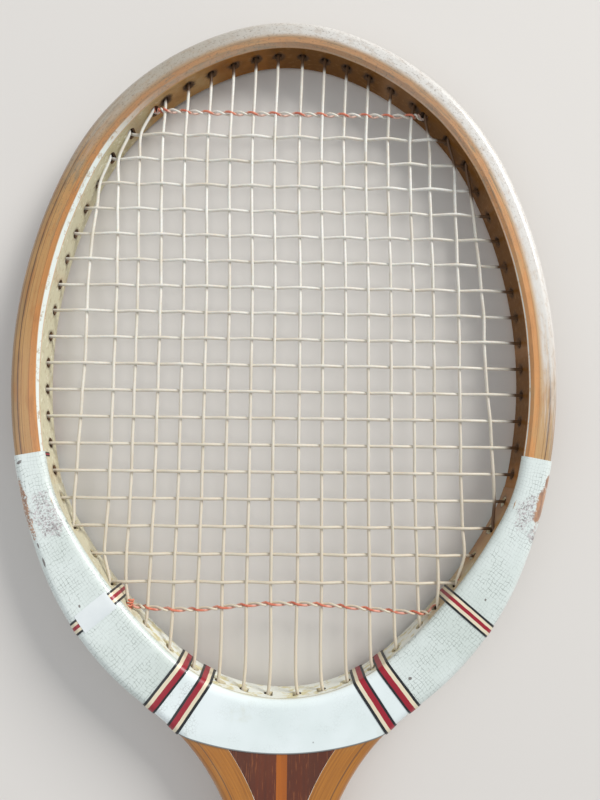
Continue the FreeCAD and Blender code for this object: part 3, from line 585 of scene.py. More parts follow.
def linen_paint():
    """Open-woven linen under white paint."""
    p = Paint("linen_paint", Coat_Weight=0.25, Coat_Roughness=0.22)
    lines = []
    for axis, pitch, seed in zip(p.axes(p.uv), (1.45, 1.30), (0.0, 7.0)):
        shift = p.node("VectorMath", {0: p.here, 1: (seed, seed, seed)}, operation="ADD")
        phase = (axis + p.noise(shift, 170.0, 4.0, 0.6).sway(0.0034)) * (pi / (pitch * MM))
        lines.append(abs(p.math("SINE", phase)).step(0.05, 0.26, 1.0, 0.0))
    gaps = p.math("MAXIMUM", *lines) * p.noise(p.here, 520.0, 2.0).step(0.36, 0.52, 0.15, 1.0)
    show = p.noise(p.here, 85.0).step(0.40, 0.60, 0.30, 0.85)
    base = p.noise(p.here, 34.0).fade(0.3, 0.7, rgb(217, 225, 221), rgb(202, 211, 205))
    base = p.mix(gaps * show, base, rgb(136, 144, 137))
    return p.finished(cloth_wear(p, p.axes(p.here), base), Roughness=gaps.step(0.0, 1.0, 0.34, 0.55),
                      Normal=p.bump(1.0 - gaps, 0.25, 0.0002))


ENAMEL_Y, ENAMEL_R = -40.9, 124.3     # lower edge of the enamel: an arc about this height


def enamel_paint():
    """Thick glossy white enamel of the throat, with a thin dark lower edge."""
    p = Paint("enamel_paint", Coat_Weight=0.7, Coat_Roughness=0.08, Roughness=0.25)
    x, y, z = place = p.axes(p.here)
    base = p.noise(p.here, 30.0).fade(0.3, 0.7, rgb(230, 238, 238), rgb(216, 226, 224))
    base = p.noise(p.here, 75.0, 4.0, 0.6).fade(0.56, 0.75, base, rgb(196, 196, 176), 0.35)
    base = z.fade(0.0080, 0.0070, base, rgb(206, 198, 166), 0.6)
    cracks = p.cells(p.here, 860.0, 'DISTANCE_TO_EDGE').step(0.07, 0.02) * p.noise(p.here, 160.0).step(0.45, 0.60)
    base = p.mix(cracks * x.step(-0.033, -0.038, 0.10, 0.5), base, rgb(150, 152, 146))
    far = p.length(x, y - (GRID_Y + ENAMEL_Y) * MM)
    base = p.mix(far.step((ENAMEL_R - 0.55) * MM, (ENAMEL_R - 0.35) * MM) * 0.85, base, rgb(84, 84, 82))
    return p.finished(cloth_wear(p, place, base), Normal=p.bump(p.noise(p.here, 240.0, 2.0), 0.08, 0.0004))


def yoke_paint():
    """Wall of the throat, yellowed and rubbed at the string holes; its cream is partly painted light, as on the rest
    of the wall round the opening.
    """
    p = Paint("yoke_paint", Coat_Weight=0.4, Coat_Roughness=0.2, Roughness=0.36)
    lining, scuffs = lining_colour(p, p.axes(p.here))
    return p.finished(lining, Normal=p.bump(scuffs, 0.2, 0.0004))


def band_paint(name, *stripes):
    """Painted silk band: stripes are (share of the width, colour)."""
    p = Paint(name, Coat_Weight=0.22, Coat_Roughness=0.2, Roughness=0.42)
    u, v = p.axes(p.uv)[:2]
    across = u + p.noise(p.join(v * 260.0), 1.0, 2.0).sway(0.05)
    stops, at = [], 0.0
    for share, colour in stripes:
        stops.append((at, colour))
        at += share
    silk = p.ramp(across, stops, "CONSTANT")
    ridge = p.node("TexWave", {"Vector": p.join(u), "Scale": 2.4, "Distortion": 0.0})
    return p.finished(p.noise(p.here, 420.0, 4.0, 0.7).fade(0.66, 0.74, silk, rgb(206, 190, 170), 0.4),
                      Normal=p.bump(ridge, 0.12, 0.0001))


def gut_paint(name, clean, stain_and_shadow, low=None):
    """Gut with a fine twist, brown as painted shadow at its ends near the wall above and on the right, and more beige
    below if a low colour is given.
    """
    p = Paint(name, Roughness=0.55, Coat_Weight=0.08, Coat_Roughness=0.3, Subsurface_Weight=0.12,
              Subsurface_Radius=(0.002, 0.0012, 0.0008), Subsurface_Scale=1.0)
    u, v = p.axes(p.uv)[:2]
    if low:
        clean = p.axes(p.here)[1].fade((GRID_Y + 70.0) * MM, (GRID_Y - 120.0) * MM, clean, low)
    spiral = p.math("SINE", v * (2.0 * pi / 0.0022) + u * (2.0 * pi))
    base = p.noise(p.join(v * 60.0, u), 1.0, 4.0, 0.6).fade(0.35, 0.7, clean, stain_and_shadow, 0.7)
    base = spiral.fade(0.6, 1.0, base, stain_and_shadow, 0.16)
    # painted shadow: dark brown where the frame would shade the string near the wall
    base = p.mix(p.node("Attribute", out="Fac", attribute_name="stain_and_shadow"), base, rgb(90, 62, 36))
    return p.finished(base, Normal=p.bump(spiral, 0.10, 0.0001))


def thread_paint(name, shift, faded):
    """Orange trebling thread, brightest where it is caught over the mains."""
    p = Paint(name, Roughness=0.6)
    off = abs(p.axes(p.here)[0] + shift * MM) - MAIN_INNER * MM
    between = abs(p.phase(off * (1.0 / (MAIN_PITCH * MM)) + 0.5)).step(0.16, 0.30)
    orange = p.noise(p.here, 300.0).fade(0.35, 0.65, rgb(214, 128, 100), rgb(192, 98, 74))
    return p.finished(p.mix(between * faded, orange, rgb(226, 196, 180)))


PIN_PITCH, PINS_ACROSS = 0.0052, 5.0


def leather_paint():
    """Perforated tan calf with a polished, darkened face."""
    p = Paint("grip_leather", Roughness=0.5, Coat_Weight=0.12, Coat_Roughness=0.3)
    u, v = p.axes(p.uv)[:2]
    pebble = p.cells(p.here, 1500.0)
    base = p.noise(p.here, 40.0, 4.0, 0.6).fade(0.3, 0.7, rgb(126, 76, 44), rgb(92, 54, 32))
    base = p.mix(pebble.step(0.0, 0.35, 0.35, 0.0), base, rgb(60, 36, 24))
    for inside, edge in ((0.06, 0.0), (0.94, 1.0)):
        base = v.fade(inside, edge, base, rgb(56, 34, 24), 0.7)
    pin = p.length(p.phase(u * (1.0 / PIN_PITCH)), p.phase(v * PINS_ACROSS)).step(0.11, 0.16, 1.0, 0.0)
    return p.finished(p.mix(pin, base, rgb(34, 22, 16)),
                      Normal=p.bump(1.0 - pin, 0.5, 0.0004, p.bump(pebble, 0.25, 0.0003)))


def plain_paint(name, light, dark, rough, grain, coat=0.1, bump=0.2):
    """Plain stain or paint, a little mottled."""
    p = Paint(name, Coat_Weight=coat, Coat_Roughness=0.25)
    tone = p.noise(p.here, (grain, grain, grain), 4.0, 0.6)
    return p.finished(tone.fade(0.3, 0.7, light, dark), Roughness=tone.step(0.2, 0.8, rough - 0.07, rough + 0.08),
                      Normal=p.bump(tone, bump, 0.0003))


BLACK, CREAM, RED = rgb(20, 22, 26), rgb(222, 210, 182), rgb(150, 16, 38)
BOW_PAINT, LINEN_PAINT, ENAMEL_PAINT, YOKE_PAINT = bow_paint(), linen_paint(), enamel_paint(), yoke_paint()
INNER_BAND = band_paint("band_inner", (0.20, BLACK), (0.25, CREAM), (0.38, RED), (0.17, BLACK))
OUTER_BAND = band_paint("band_outer", (0.15, BLACK), (0.39, RED), (0.27, CREAM), (0.19, BLACK))
UPPER_BAND = band_paint("band_upper", (0.16, BLACK), (0.22, CREAM), (0.26, RED), (0.20, CREAM), (0.16, BLACK))
REMNANT_BAND = band_paint("band_remnant", (0.35, BLACK), (0.40, RED), (0.25, BLACK))
TAPE_PAINT = plain_paint("tape_finish", rgb(222, 227, 227), rgb(212, 218, 219), 0.4, 60.0, 0.15, 0.1)
GUT_PAINT = gut_paint("gut_finish", rgb(224, 222, 214), rgb(198, 188, 168), rgb(206, 195, 174))
ORANGE_PAINT = gut_paint("treble_orange", rgb(214, 132, 104), rgb(196, 104, 80))
KNOT_PAINT = gut_paint("treble_knot", rgb(190, 104, 88), rgb(150, 66, 56))
TOP_THREAD, LOW_THREAD = thread_paint("treble_top_thread", 1.25, 0.85), thread_paint("treble_low_thread", 0.0, 0.35)
MAHOGANY = solid_wood("mahogany_finish", rgb(94, 36, 10), rgb(60, 20, 6), rgb(144, 82, 40), 0.65)
TAN_WOOD = solid_wood("tan_finish", rgb(182, 99, 14), rgb(146, 74, 12), rgb(118, 60, 14))
GOLD_WOOD = solid_wood("gold_finish", rgb(176, 113, 36), rgb(142, 86, 24), rgb(116, 70, 26))
FLARE_WOOD = solid_wood("flare_finish", rgb(184, 136, 82), rgb(150, 102, 56), rgb(128, 90, 52), rough=0.5, coat=0.0)
# bare wood of the countersinks, painted dark brown as shade in the hole mouths
MOUTH_SHADE_PAINT = plain_paint("mouth_wood_shaded", rgb(116, 84, 54), rgb(76, 54, 36), 0.7, 300.0, 0.0)
PALE_MOUTH = plain_paint("mouth_enamel", rgb(216, 210, 184), rgb(186, 170, 130), 0.6, 300.0, 0.0)
HOLE_PAINT = plain_paint("hole_shade", rgb(78, 54, 36), rgb(52, 36, 26), 0.8, 300.0, 0.0)
LEATHER_PAINT = leather_paint()
COLLAR_PAINT = plain_paint("collar_finish", rgb(44, 40, 40), rgb(30, 28, 28), 0.5, 700.0)
CAP_PAINT = plain_paint("cap_finish", rgb(110, 66, 40), rgb(78, 46, 30), 0.5, 260.0, 0.15, 0.3)

# ---- rays square out of the opening's edge, to the bow ----
RAY = np.linspace(0.0, 34.0, 171)
ray_offs = {}


def offs_along_ray(s):
    """Distances off the bow's inside line, along the ray that leaves the opening at s."""
    key = round(abs(float(s)), 4)
    if key not in ray_offs:
        start, out = OPENING.look(key)
        ray_offs[key] = np.maximum.accumulate(BOW_LINE.feet(start + RAY[:, None] * out)[1])
    return ray_offs[key]


def reach_to_bow(s, off):
    """How far out the ray is when it is that far off the bow's inside line."""
    return float(np.interp(off, offs_along_ray(s), RAY))


leave = BOW_LINE.feet(np.stack([OPENING.x, OPENING.y], -1))[1]
OPENING_LEAVES_HERE = float(OPENING.s[np.nonzero(leave < -YOKE_TIP)[0][0]])
OPENING_LEAVES = float(BOW_LINE.feet([OPENING.at(OPENING_LEAVES_HERE)])[0][0])


# ---- wooden bow and throat block ----
def arc_points(count):
    return [radians(90.0 * k / count) for k in range(count + 1)]


def wall_section(top, bevel):
    """Front half of the wall, and the bevel above it."""
    return [(0.0, z) for z in (0.0, 2.4, 4.8, top)] + [(bevel * k / 2.0, top + bevel * k / 2.0) for k in (1, 2)]


def both_faces(section):
    return section + [(a, -z) for a, z in section[:0:-1] if z]


def bow_section(s):
    bevel = BEVEL * float(1.0 - smooth_step(OPENING_LEAVES - 2.0, OPENING_LEAVES + 8.0, abs(s)))
    deep = (BOW - PLY_INNER) * float(1.0 - smooth_step(GROOVE_END + 1.0, GROOVE_END + 10.0, abs(s)))
    section = wall_section(HALF - bevel, bevel) + [(a, HALF) for a in (3.4, 5.2, 7.0)]
    section += [(BOW - ROUND + ROUND * sin(t), HALF - ROUND + ROUND * cos(t)) for t in arc_points(6)]
    section += [(BOW, 4.0), (BOW, GROOVE_HALF + 0.35), (BOW - 0.3 * deep / 2.6, GROOVE_HALF),
                (BOW - deep * 0.8, GROOVE_HALF * 0.9), (BOW - deep, GROOVE_HALF * 0.6), (BOW - deep, 0.0)]
    return both_faces(section)


def yoke_section(s):
    deep = min(YOKE_DEPTH, reach_to_bow(s, 0.0))
    bevel = min(BEVEL, deep)
    return both_faces(wall_section(HALF - BEVEL, bevel) + [(max(deep, bevel), HALF - BEVEL + bevel)])


def round_throat(right):
    return np.concatenate([right, -right[-2::-1]])


CUTTER_SIDES = 14


def hole_cutter(h, level, right, tall=0.0):
    """One string hole and its countersink, from inside the opening to past the groove's floor."""
    side = 1.0 if right else -1.0
    way = np.array([h["way"][0] * side, h["way"][1], 0.0])
    mouth = np.array([h["mouth"][0] * side, h["mouth"][1], level])
    across = np.array([-way[1], way[0], 0.0])
    up = np.array([0.0, 0.0, 1.0])
    length = np.linalg.norm(h["floor"] - h["mouth"])
    profile = [(-1.2, 3.0), (0.0, 2.25), (0.8, 1.62), (2.4, 1.3), (length + 3.5, 1.2)]     # along, radius
    points = []
    for along, radius in profile:
        for k in range(CUTTER_SIDES):
            t = 2 * pi * k / CUTTER_SIDES
            stretch = tall * (1 if sin(t) >= 0 else -1)
            points.append(mouth + way * along + across * radius * cos(t) + up * (radius * 0.92 * sin(t) + stretch))
    return points, ring_faces(len(profile), CUTTER_SIDES), np.zeros((len(points), 2))


CUTTERS = []
for right in (True, False):
    CUTTERS += [hole_cutter(h, 0.0, right, HOLE_STAGGER) for h in SHARED]
    for row, level in ((TOP_HOLES + LOW_HOLES, HOLE_STAGGER), (SIDE_HOLES, -HOLE_STAGGER)):
        CUTTERS += [hole_cutter(h, level, right) for h in row if not any(h is other for other in SHARED)]
CUTTER_FACES, MOUTH_FACES = len(CUTTERS[0][1]), 2 * CUTTER_SIDES


def pierced(thing, mouth):
    """Cuts the string holes, in three sets so that no two cutters of a set meet."""
    for offset in (0, 1, 2):
        tool = piece("cutter", CUTTERS[offset::3], (mouth, HOLE_PAINT), merge=1e-9)
        for polygon in tool.data.polygons:
            polygon.material_index = 0 if polygon.index % CUTTER_FACES < MOUTH_FACES else 1
        change = thing.modifiers.new("holes", "BOOLEAN")
        change.operation, change.object, change.solver = "DIFFERENCE", tool, "EXACT"
        change.material_mode = 'TRANSFER'
        bpy.context.view_layer.update()
        graph = bpy.context.evaluated_depsgraph_get()
        whole = thing.data
        thing.data = bpy.data.meshes.new_from_object(thing.evaluated_get(graph), preserve_all_data_layers=True,
                                                     depsgraph=graph)
        thing.modifiers.clear()
        bpy.data.meshes.remove(whole)
        bpy.data.objects.remove(tool)
    all_smooth(thing.data, 38.0)


fine_run = np.arange(0.0, GROOVE_END + 16.0, 1.25)
coarse_run = np.arange(GROOVE_END + 16.0, BOW_LINE.length, 5.0)
right = np.unique(np.concatenate([fine_run, coarse_run, [BOW_LINE.length]]))
pierced(piece("bow_wood", [swept(BOW_LINE, np.concatenate([-right[:0:-1], right]), bow_section)], (BOW_PAINT,),
              "ash_wood", ("inner_ply", "outer_ply")), MOUTH_SHADE_PAINT)
right = np.append(np.arange(OPENING_LEAVES_HERE, OPENING.length, 1.0), OPENING.length)
pierced(piece("throat_filler", [swept(OPENING, round_throat(right), yoke_section)], (YOKE_PAINT,),
              "white_enamel", ("throat_yoke",)), PALE_MOUTH)

# ---- white shoulders and throat ----
SOFT_E, SOFT_Z = 3.3, 2.1             # the paint's round over the bevel, across and down
BACK_LIP = 0.4                        # the covers stop this far up the bevel behind
EDGE_DROP, SUNK = 0.9, -0.06          # they start this far below the bevel, and lie this deep in the wood
LINEN_PROUD, ENAMEL_PROUD = 0.45, 0.42


def circle_reach(s):
    """Distance from the opening's edge to the enamel's lower arc, along the ray."""
    start, out = OPENING.look(s)
    rel = start - np.array([0.0, GRID_Y + ENAMEL_Y])
    b, c = rel @ out, rel @ rel - ENAMEL_R ** 2
    return -b + sqrt(b * b - c)


def cover_section(s, proud, low_wall, lip):
    """(distance from the opening's edge, height) pairs over the front, from wall to groove."""
    far = circle_reach(s)
    section = [(-proud * 0.5, HALF - BEVEL - EDGE_DROP), (-proud * 0.6, HALF - BEVEL - EDGE_DROP * 0.4)]
    section += [(SOFT_E - (SOFT_E + 0.7 * proud) * cos(t), HALF - SOFT_Z + (SOFT_Z + proud) * sin(t))
                for t in arc_points(7)]
    section = [(max(e, lip), max(z, HALF - BEVEL + lip) if lip > 0 else z) for e, z in section]
    flat_end = min(reach_to_bow(s, BOW - ROUND), far)
    section += [(SOFT_E + (flat_end - SOFT_E) * k / 6.0, HALF + proud) for k in range(1, 7)]
    whole = True
    for t in arc_points(7)[1:]:
        e = reach_to_bow(s, BOW - ROUND + (ROUND + proud) * sin(t))
        if e > far:
            whole = False
            e_end = max(far, flat_end)
            off_end = float(np.interp(e_end, RAY, offs_along_ray(s)))
            lift = min(1.0, max(0.0, (off_end - BOW + ROUND) / (ROUND + proud)))
            section.append((e_end, HALF - ROUND + (ROUND + proud) * sqrt(1.0 - lift * lift)))
        else:
            section.append((e, HALF - ROUND + (ROUND + proud) * cos(t)))
    e, z = section[-1]
    return section + [(e, z + (low_wall - z) * k / 3.0) if whole else (e, z) for k in (1, 2, 3)]


def cover(name, stations, proud, paint, slot, stands_for=()):
    """Thin shell laid over the frame, front and back."""
    def section_at(s, lip):
        outside = BOW_LINE.feet([OPENING.at(abs(s), reach_to_bow(s, BOW))])[0][0]
        low = 3.0 if outside < GROOVE_END + 8.0 else 0.0
        return (cover_section(s, proud, low, lip)
                + cover_section(s, SUNK, low, lip + 0.05 if lip > 0 else lip)[::-1])

    piece(name, [swept(OPENING, stations, lambda s: section_at(s, -1.0)),
                 swept(OPENING, stations, lambda s: section_at(s, BACK_LIP), -1.0)], (paint,), slot, stands_for, 50.0)


# a band crosses the frame along a straight line from its outer end, leaning inwards
BANDS = {
    "inner": {"end": (43.9, GRID_Y - 155.3), "lean": 34.0, "paint": INNER_BAND},
    "outer": {"end": (52.9, GRID_Y - 146.5), "lean": 38.0, "paint": OUTER_BAND},
    "upper": {"end": (86.0, GRID_Y - 117.5), "lean": 50.0, "paint": UPPER_BAND},
}
BAND_WIDTH, BAND_PROUD = 5.8, 0.68
BAND_FOOT = 3.1                       # the bands end at this height over the groove
TAPE_WIDTH, TAPE_OVER = 8.2, 0.16     # the tape, and how far it lies above the band under it
LINEN_TOP_TURN = 10.3                 # degrees below level, from the centre of the side arc


def band_crossing(band, aside):
    """Where a line along the band meets the opening."""
    lean = radians(band["lean"])
    inward = np.array([-sin(lean), cos(lean)])
    start = np.array(band["end"], float) + np.array([cos(lean), sin(lean)]) * aside
    reach = np.linspace(5.0, 34.0, 291)
    off = OPENING.feet(start + reach[:, None] * inward)[1]
    k = np.nonzero(off < 0)[0][0]
    a, b = off[k - 1], off[k]
    return start, inward, reach[k - 1] + (reach[k] - reach[k - 1]) * a / (a - b)


start, inward, reach = band_crossing(BANDS["outer"], 0.0)
split_s = float(OPENING.feet([start + inward * reach])[0][0])
ray = np.array([cos(radians(LINEN_TOP_TURN)), -sin(radians(LINEN_TOP_TURN))])
linen_s = float(OPENING.feet([side_c + ray * SIDE[0]])[0][0])
right = np.linspace(linen_s, split_s, 110)
cover("linen_right_cover", right, LINEN_PROUD, LINEN_PAINT, "white_linen", ("linen_right",))
cover("linen_left_cover", -right, LINEN_PROUD, LINEN_PAINT, "white_linen", ("linen_left",))
throat = round_throat(np.linspace(split_s, OPENING.length, 260))
cover("enamel_cover", throat, ENAMEL_PROUD, ENAMEL_PAINT, "white_enamel")


# ---- striped bands ----
def surface_height(e, off, proud):
    """Height of the front at a distance from the opening's edge and off the bow's inside."""
    level = np.clip((SOFT_E - e) / (SOFT_E + 0.7 * proud), 0.0, 1.0)
    z = HALF - SOFT_Z + (SOFT_Z + proud) * np.sqrt(1.0 - level * level)
    past = np.clip((off - BOW + ROUND) / (ROUND + proud), 0.0, 1.0)
    return float(min(z, HALF - ROUND + (ROUND + proud) * np.sqrt(1.0 - past * past)))


def band_lines(band, right, face, widths, proud):
    """Rows of points across the width, over the wall, the bevel, the front and the outer round."""
    rows = []
    for aside in widths:
        start, inward, inner_reach = band_crossing(band, aside)
        reach = np.linspace(-8.0, inner_reach, 200)
        off = BOW_LINE.feet(start + reach[:, None] * inward)[1]
        outer_reach = float(np.interp(-BOW - 0.45, -off, reach))
        up = proud - 0.10 * abs(aside / widths[-1]) ** 4
        edge = start + inward * inner_reach + inward * up * 0.62
        line = [(*edge, (HALF - SOFT_Z) * (k / 2.0 - 1.0) if face > 0 else HALF - SOFT_Z + 0.02) for k in range(5)]
        for r in np.concatenate([inner_reach + up * 0.62 - 3.6 * (1.0 - np.cos(np.radians(np.linspace(12, 90, 7)))),
                                 np.linspace(inner_reach - 4.0, outer_reach + 4.6, 5),
                                 outer_reach + 4.3 * (1.0 - np.sin(np.radians(np.linspace(8, 90, 9))))]):
            p = start + inward * r
            line.append((*p, surface_height(OPENING.feet([p])[1][0], BOW_LINE.feet([p])[1][0], up)))
        x, y, z = line[-1]
        line += [(x, y, z + (BAND_FOOT - z) * k / 3.0) for k in (1, 2, 3)]
        rows.append([(x if right else -x, y, z * face) for x, y, z in line])
    return np.array(rows)


def band_shell(band, right, face, width, proud, start=0, end=None):
    """Closed ribbon about a quarter of a millimetre thick from a span of the band's lines."""
    widths = np.linspace(-width / 2.0, width / 2.0, 13)
    rows = band_lines(band, right, face, widths, proud)
    low = rows.copy()
    low[:, :, 2] -= 0.3 * face
    way = rows[:, 0, :2] - rows[:, -1, :2]
    way = 0.2 * (way / np.linalg.norm(way, axis=1)[:, None])[:, None]
    low[:, :5, :2] -= way                             # the parts on both walls are thin the other way
    low[:, -6:, :2] += way
    half = len(widths)
    run = np.concatenate([[0.0], np.cumsum(np.linalg.norm(np.diff(rows[half // 2], axis=0), axis=1))])
    shell = np.concatenate([rows[:, start:end], low[::-1, start:end]])
    line = [[(u, v * MM) for v in run[start:end]] for u in widths / width + 0.5]
    count = shell.shape[1]
    faces = ring_faces(2 * half, count, close_columns=False, close_rows=True)
    for k in range(half - 1):
        for end_line in (0, count - 1):
            faces.append(tuple(row * count + end_line for row in (k, k + 1, 2 * half - 2 - k, 2 * half - 1 - k)))
    return shell, faces, line + line[::-1]


def remnant_shell():
    """Scrap of an old silk band across the wall above the left linen."""
    s = float(OPENING.feet([(97.0, GRID_Y - 45.0)])[0][0])
    heights, stations = np.linspace(6.9, 2.6, 8), np.linspace(s - 0.85, s + 0.85, 5)
    outer, inner = ([[(*OPENING.at(-u + 0.05 * (z - 5.0), away(u)), z) for z in heights] for u in stations]
                    for away in (lambda u: -0.42 + 0.1 * abs(u - s), lambda u: 0.1))
    shell = np.array(outer + inner[::-1]).swapaxes(0, 1)
    line = [[(k / 4.0, z * MM) for k in (0, 1, 2, 3, 4, 4, 3, 2, 1, 0)] for z in heights]
    return shell, ring_faces(*shell.shape[:2]), line


for label, band in BANDS.items():
    for right, end in ((True, "_right"), (False, "_left")):
        piece("band_" + label + end, [band_shell(band, right, face, BAND_WIDTH, BAND_PROUD) for face in (1.0, -1.0)],
              (band["paint"],), "white_linen", angle=60.0)
# smooth white tape over the middle of the left upper band, and the band end left on the wall
piece("shoulder_tape", [band_shell(BANDS["upper"], False, 1.0, TAPE_WIDTH, BAND_PROUD + TAPE_OVER, 9, 17)],
      (TAPE_PAINT,), "white_linen", angle=60.0)
piece("band_remnant", [remnant_shell()], (REMNANT_BAND,), "white_linen", angle=60.0)


# ---- strings ----
def blended(u, v, t, low, high):
    """From u, where t is low, to v, where it is high."""
    return u * (high - t) / (high - low) + v * (t - low) / (high - low)


def smooth_path(points, spacing):
    """Catmull-Rom curve through points, sampled about every spacing."""
    p = np.asarray(points, float)
    p = np.concatenate([[2 * p[0] - p[1]], p, [2 * p[-1] - p[-2]]])
    out = []
    for a, b, c, d in zip(p, p[1:], p[2:], p[3:]):
        k = np.cumsum([0.0] + [max(1e-6, np.linalg.norm(v - u)) ** 0.5 for u, v in ((a, b), (b, c), (c, d))])
        t = np.linspace(k[1], k[2], max(2, int(np.linalg.norm(c - b) / spacing)), endpoint=False)[:, None]
        ab, bc, cd = blended(a, b, t, k[0], k[1]), blended(b, c, t, k[1], k[2]), blended(c, d, t, k[2], k[3])
        out.append(blended(blended(ab, bc, t, k[0], k[2]), blended(bc, cd, t, k[1], k[3]), t, k[1], k[2]))
    return np.concatenate(out + [p[-2:-1]])


def cord(name, path, radius, paint, slot, stands_for=(), sides=7):
    """Round string along a path."""
    path = np.asarray(path, float)
    run = np.gradient(path, axis=0)
    run /= np.linalg.norm(run, axis=1)[:, None]
    side = np.cross(run[0], (0.0, 0.0, 1.0))
    side /= np.linalg.norm(side)
    length, points, uvs = 0.0, [], []
    for i, (p, t) in enumerate(zip(path, run)):
        if i:
            length += np.linalg.norm(p - path[i - 1])
        side = side - t * (side @ t)
        side /= np.linalg.norm(side)
        rise = np.cross(side, t)
        for k in range(sides):
            a = 2 * pi * k / sides
            points.append(p + (side * cos(a) + rise * sin(a)) * radius)
            uvs.append((k / sides, length * MM))
    return piece(name, [(points, ring_faces(len(path), sides), uvs)], (paint,), slot, stands_for, 80.0)


MAIN_LIFT, CROSS_LIFT = 0.26, 0.86    # how far each bends out of the middle where they cross
LOOP_AWAY = PLY_INNER + GUT_R + 0.15
NEAR_WALL = 2.6                       # a run meets no main closer to the wall than this
LEAN_FROM, DRIFT_FROM, LIFT_FROM = 11.6, 12.0, 14.0   # how near its hole a main turns to it, stops drifting, lifts
STRAND_OUT, STRAND_UP = 0.55, 1.12    # how far the trebling's strands go round each other
GUT_STEP, TREBLE_STEP = 1.5, 0.9      # spacing of the points along a string


def point3(xy, z):
    return np.array([xy[0], xy[1], z])


def flipped(p, right):
    return p if right else np.array([-p[0], p[1], p[2]])


def hole_ends(h, level):
    """Just inside the opening, in the wood, and at the groove floor."""
    mouth, floor, way = h["mouth"], h["floor"], h["way"]
    out = BOW_LINE.look(h["along"])[1]
    return [point3(spot, level) for spot in (mouth + way * 0.9, mouth + way * 3.4, floor - way * 1.0,
                                             floor + out * (GUT_R + 0.1))]


def groove_points(first, last, level, right_first, right_last):
    a = first["along"] if right_first else -first["along"]
    b = last["along"] if right_last else -last["along"]
    way = 1.0 if b > a else -1.0
    stations = np.linspace(a + way * 1.3, b - way * 1.3, max(3, int(abs(b - a) / 2.5)))
    return [point3(BOW_LINE.at(s, LOOP_AWAY), level) for s in stations]


def number_of(i):
    """Number of a main out from the middle, and whether it is on the right, counted from the left."""
    return (i - MAINS_A_SIDE, True) if i >= MAINS_A_SIDE else (MAINS_A_SIDE - 1 - i, False)


def wander(number, right, height):
    """Small sideways drift of one main, outwards, as old strings have."""
    if number == LAST:
        low, high = float(smooth_step(0.0, -40.0, height)), float(smooth_step(5.0, 50.0, height))
        return 1.2 * low if right else 0.3 + 1.9 * high
    drift = -1.25 * float(smooth_step(20.0, 85.0, height)) * (1.0 if right else -1.0)
    if number == LAST - 1 and not right:
        drift -= 0.9
    elif number == LAST - 2 and right:
        drift -= 1.2
    return drift


def main_flat(number, y, right):
    """Distance from the middle and lift of a main at a height; it runs straight to its holes."""
    low, top = LOW_HOLES[number]["mouth"], TOP_HOLES[number]["mouth"]
    near = min(y - low[1], top[1] - y)
    end = low if y - low[1] < top[1] - y else top
    ease = max(0.0, 1.0 - near / LEAN_FROM)
    x = main_x(number, y - GRID_Y) + wander(number, right, y - GRID_Y) * min(1.0, near / DRIFT_FROM)
    x += (end[0] - main_x(number, end[1] - GRID_Y)) * ease
    return x, HOLE_STAGGER * float(1.0 - smooth_step(0.0, LIFT_FROM, near))


def over_main(i, j):
    return (i % 2 == 0) == (j % 2 == 0)


def main_run(i):
    """One main from the groove below to the groove above."""
    number, right = number_of(i)
    points, top = hole_ends(LOW_HOLES[number], HOLE_STAGGER)[::-1], hole_ends(TOP_HOLES[number], HOLE_STAGGER)
    lowest, highest = points[-1][1] + 3.0, top[0][1] - 3.0
    for j, h in enumerate(HEIGHTS):
        if lowest < GRID_Y + h < highest:
            x, lift = main_flat(number, GRID_Y + h, right)
            points.append(np.array([x, GRID_Y + h, lift + (-MAIN_LIFT if over_main(i, j) else MAIN_LIFT)]))
    return [flipped(p, right) for p in points + top]


def mains_met(height, edge, margin):
    """(index, distance from the middle, on the right, lift) of each main that a run at a height meets."""
    met = []
    for i in range(2 * MAINS_A_SIDE):
        number, right = number_of(i)
        if LOW_HOLES[number]["mouth"][1] + margin < GRID_Y + height < TOP_HOLES[number]["mouth"][1] - margin:
            x, lift = main_flat(number, GRID_Y + height, right)
            if x < edge - NEAR_WALL:
                met.append((i, x, right, lift))
    return met


def cross_run(j, h):
    """One cross from left to right, groove to groove."""
    ends = hole_ends(SIDE_HOLES[j], -HOLE_STAGGER)
    edge = SIDE_HOLES[j]["mouth"][0]
    run = [flipped(p, False) for p in ends[::-1]]
    for i, x, right, lift in mains_met(h, edge, 3.0):
        ease = float(smooth_step(0.0, 9.0, edge - x))
        z = lift + CROSS_LIFT if over_main(i, j) else min(0.0, lift) - CROSS_LIFT
        run.append(np.array([x if right else -x, GRID_Y + h, z * ease - HOLE_STAGGER * (1.0 - ease)]))
    return run + ends


def gut_piece(name, path, node):
    """String with a painted shadow: brown in its last millimetres before the wall, at the top and on the right, where
    the frame would shade it.
    """
    thing = cord(name, smooth_path(path, GUT_STEP), GUT_R, GUT_PAINT, "gut", (node,), 8)
    places = np.empty(3 * len(thing.data.vertices))
    thing.data.vertices.foreach_get("co", places)
    places = places.reshape(-1, 3)[:, :2] / MM
    side = 4.0 * places[:, 0] + 2.6 * (places[:, 1] - GRID_Y)
    # the painted shadow reaches further from the wall towards the upper right
    reach = np.interp(side, (60.0, 160.0), (0.0, 4.6))
    share = smooth_step(-0.8, 0.8, OPENING.feet(places)[1] + reach) * (side > 60.0)
    stain_and_shadow = thing.data.attributes.new("stain_and_shadow", 'FLOAT', 'POINT')
    stain_and_shadow.data.foreach_set("value", share.astype(np.float32))


def main_path():
    path = []
    for i in range(2 * MAINS_A_SIDE):
        number, right = number_of(i)
        upwards = i % 2 == 0
        if path:
            before, was_right = number_of(i - 1)
            holes = LOW_HOLES if upwards else TOP_HOLES
            path += groove_points(holes[before], holes[number], HOLE_STAGGER, was_right, right)
        path += main_run(i)[::1 if upwards else -1]
    return path


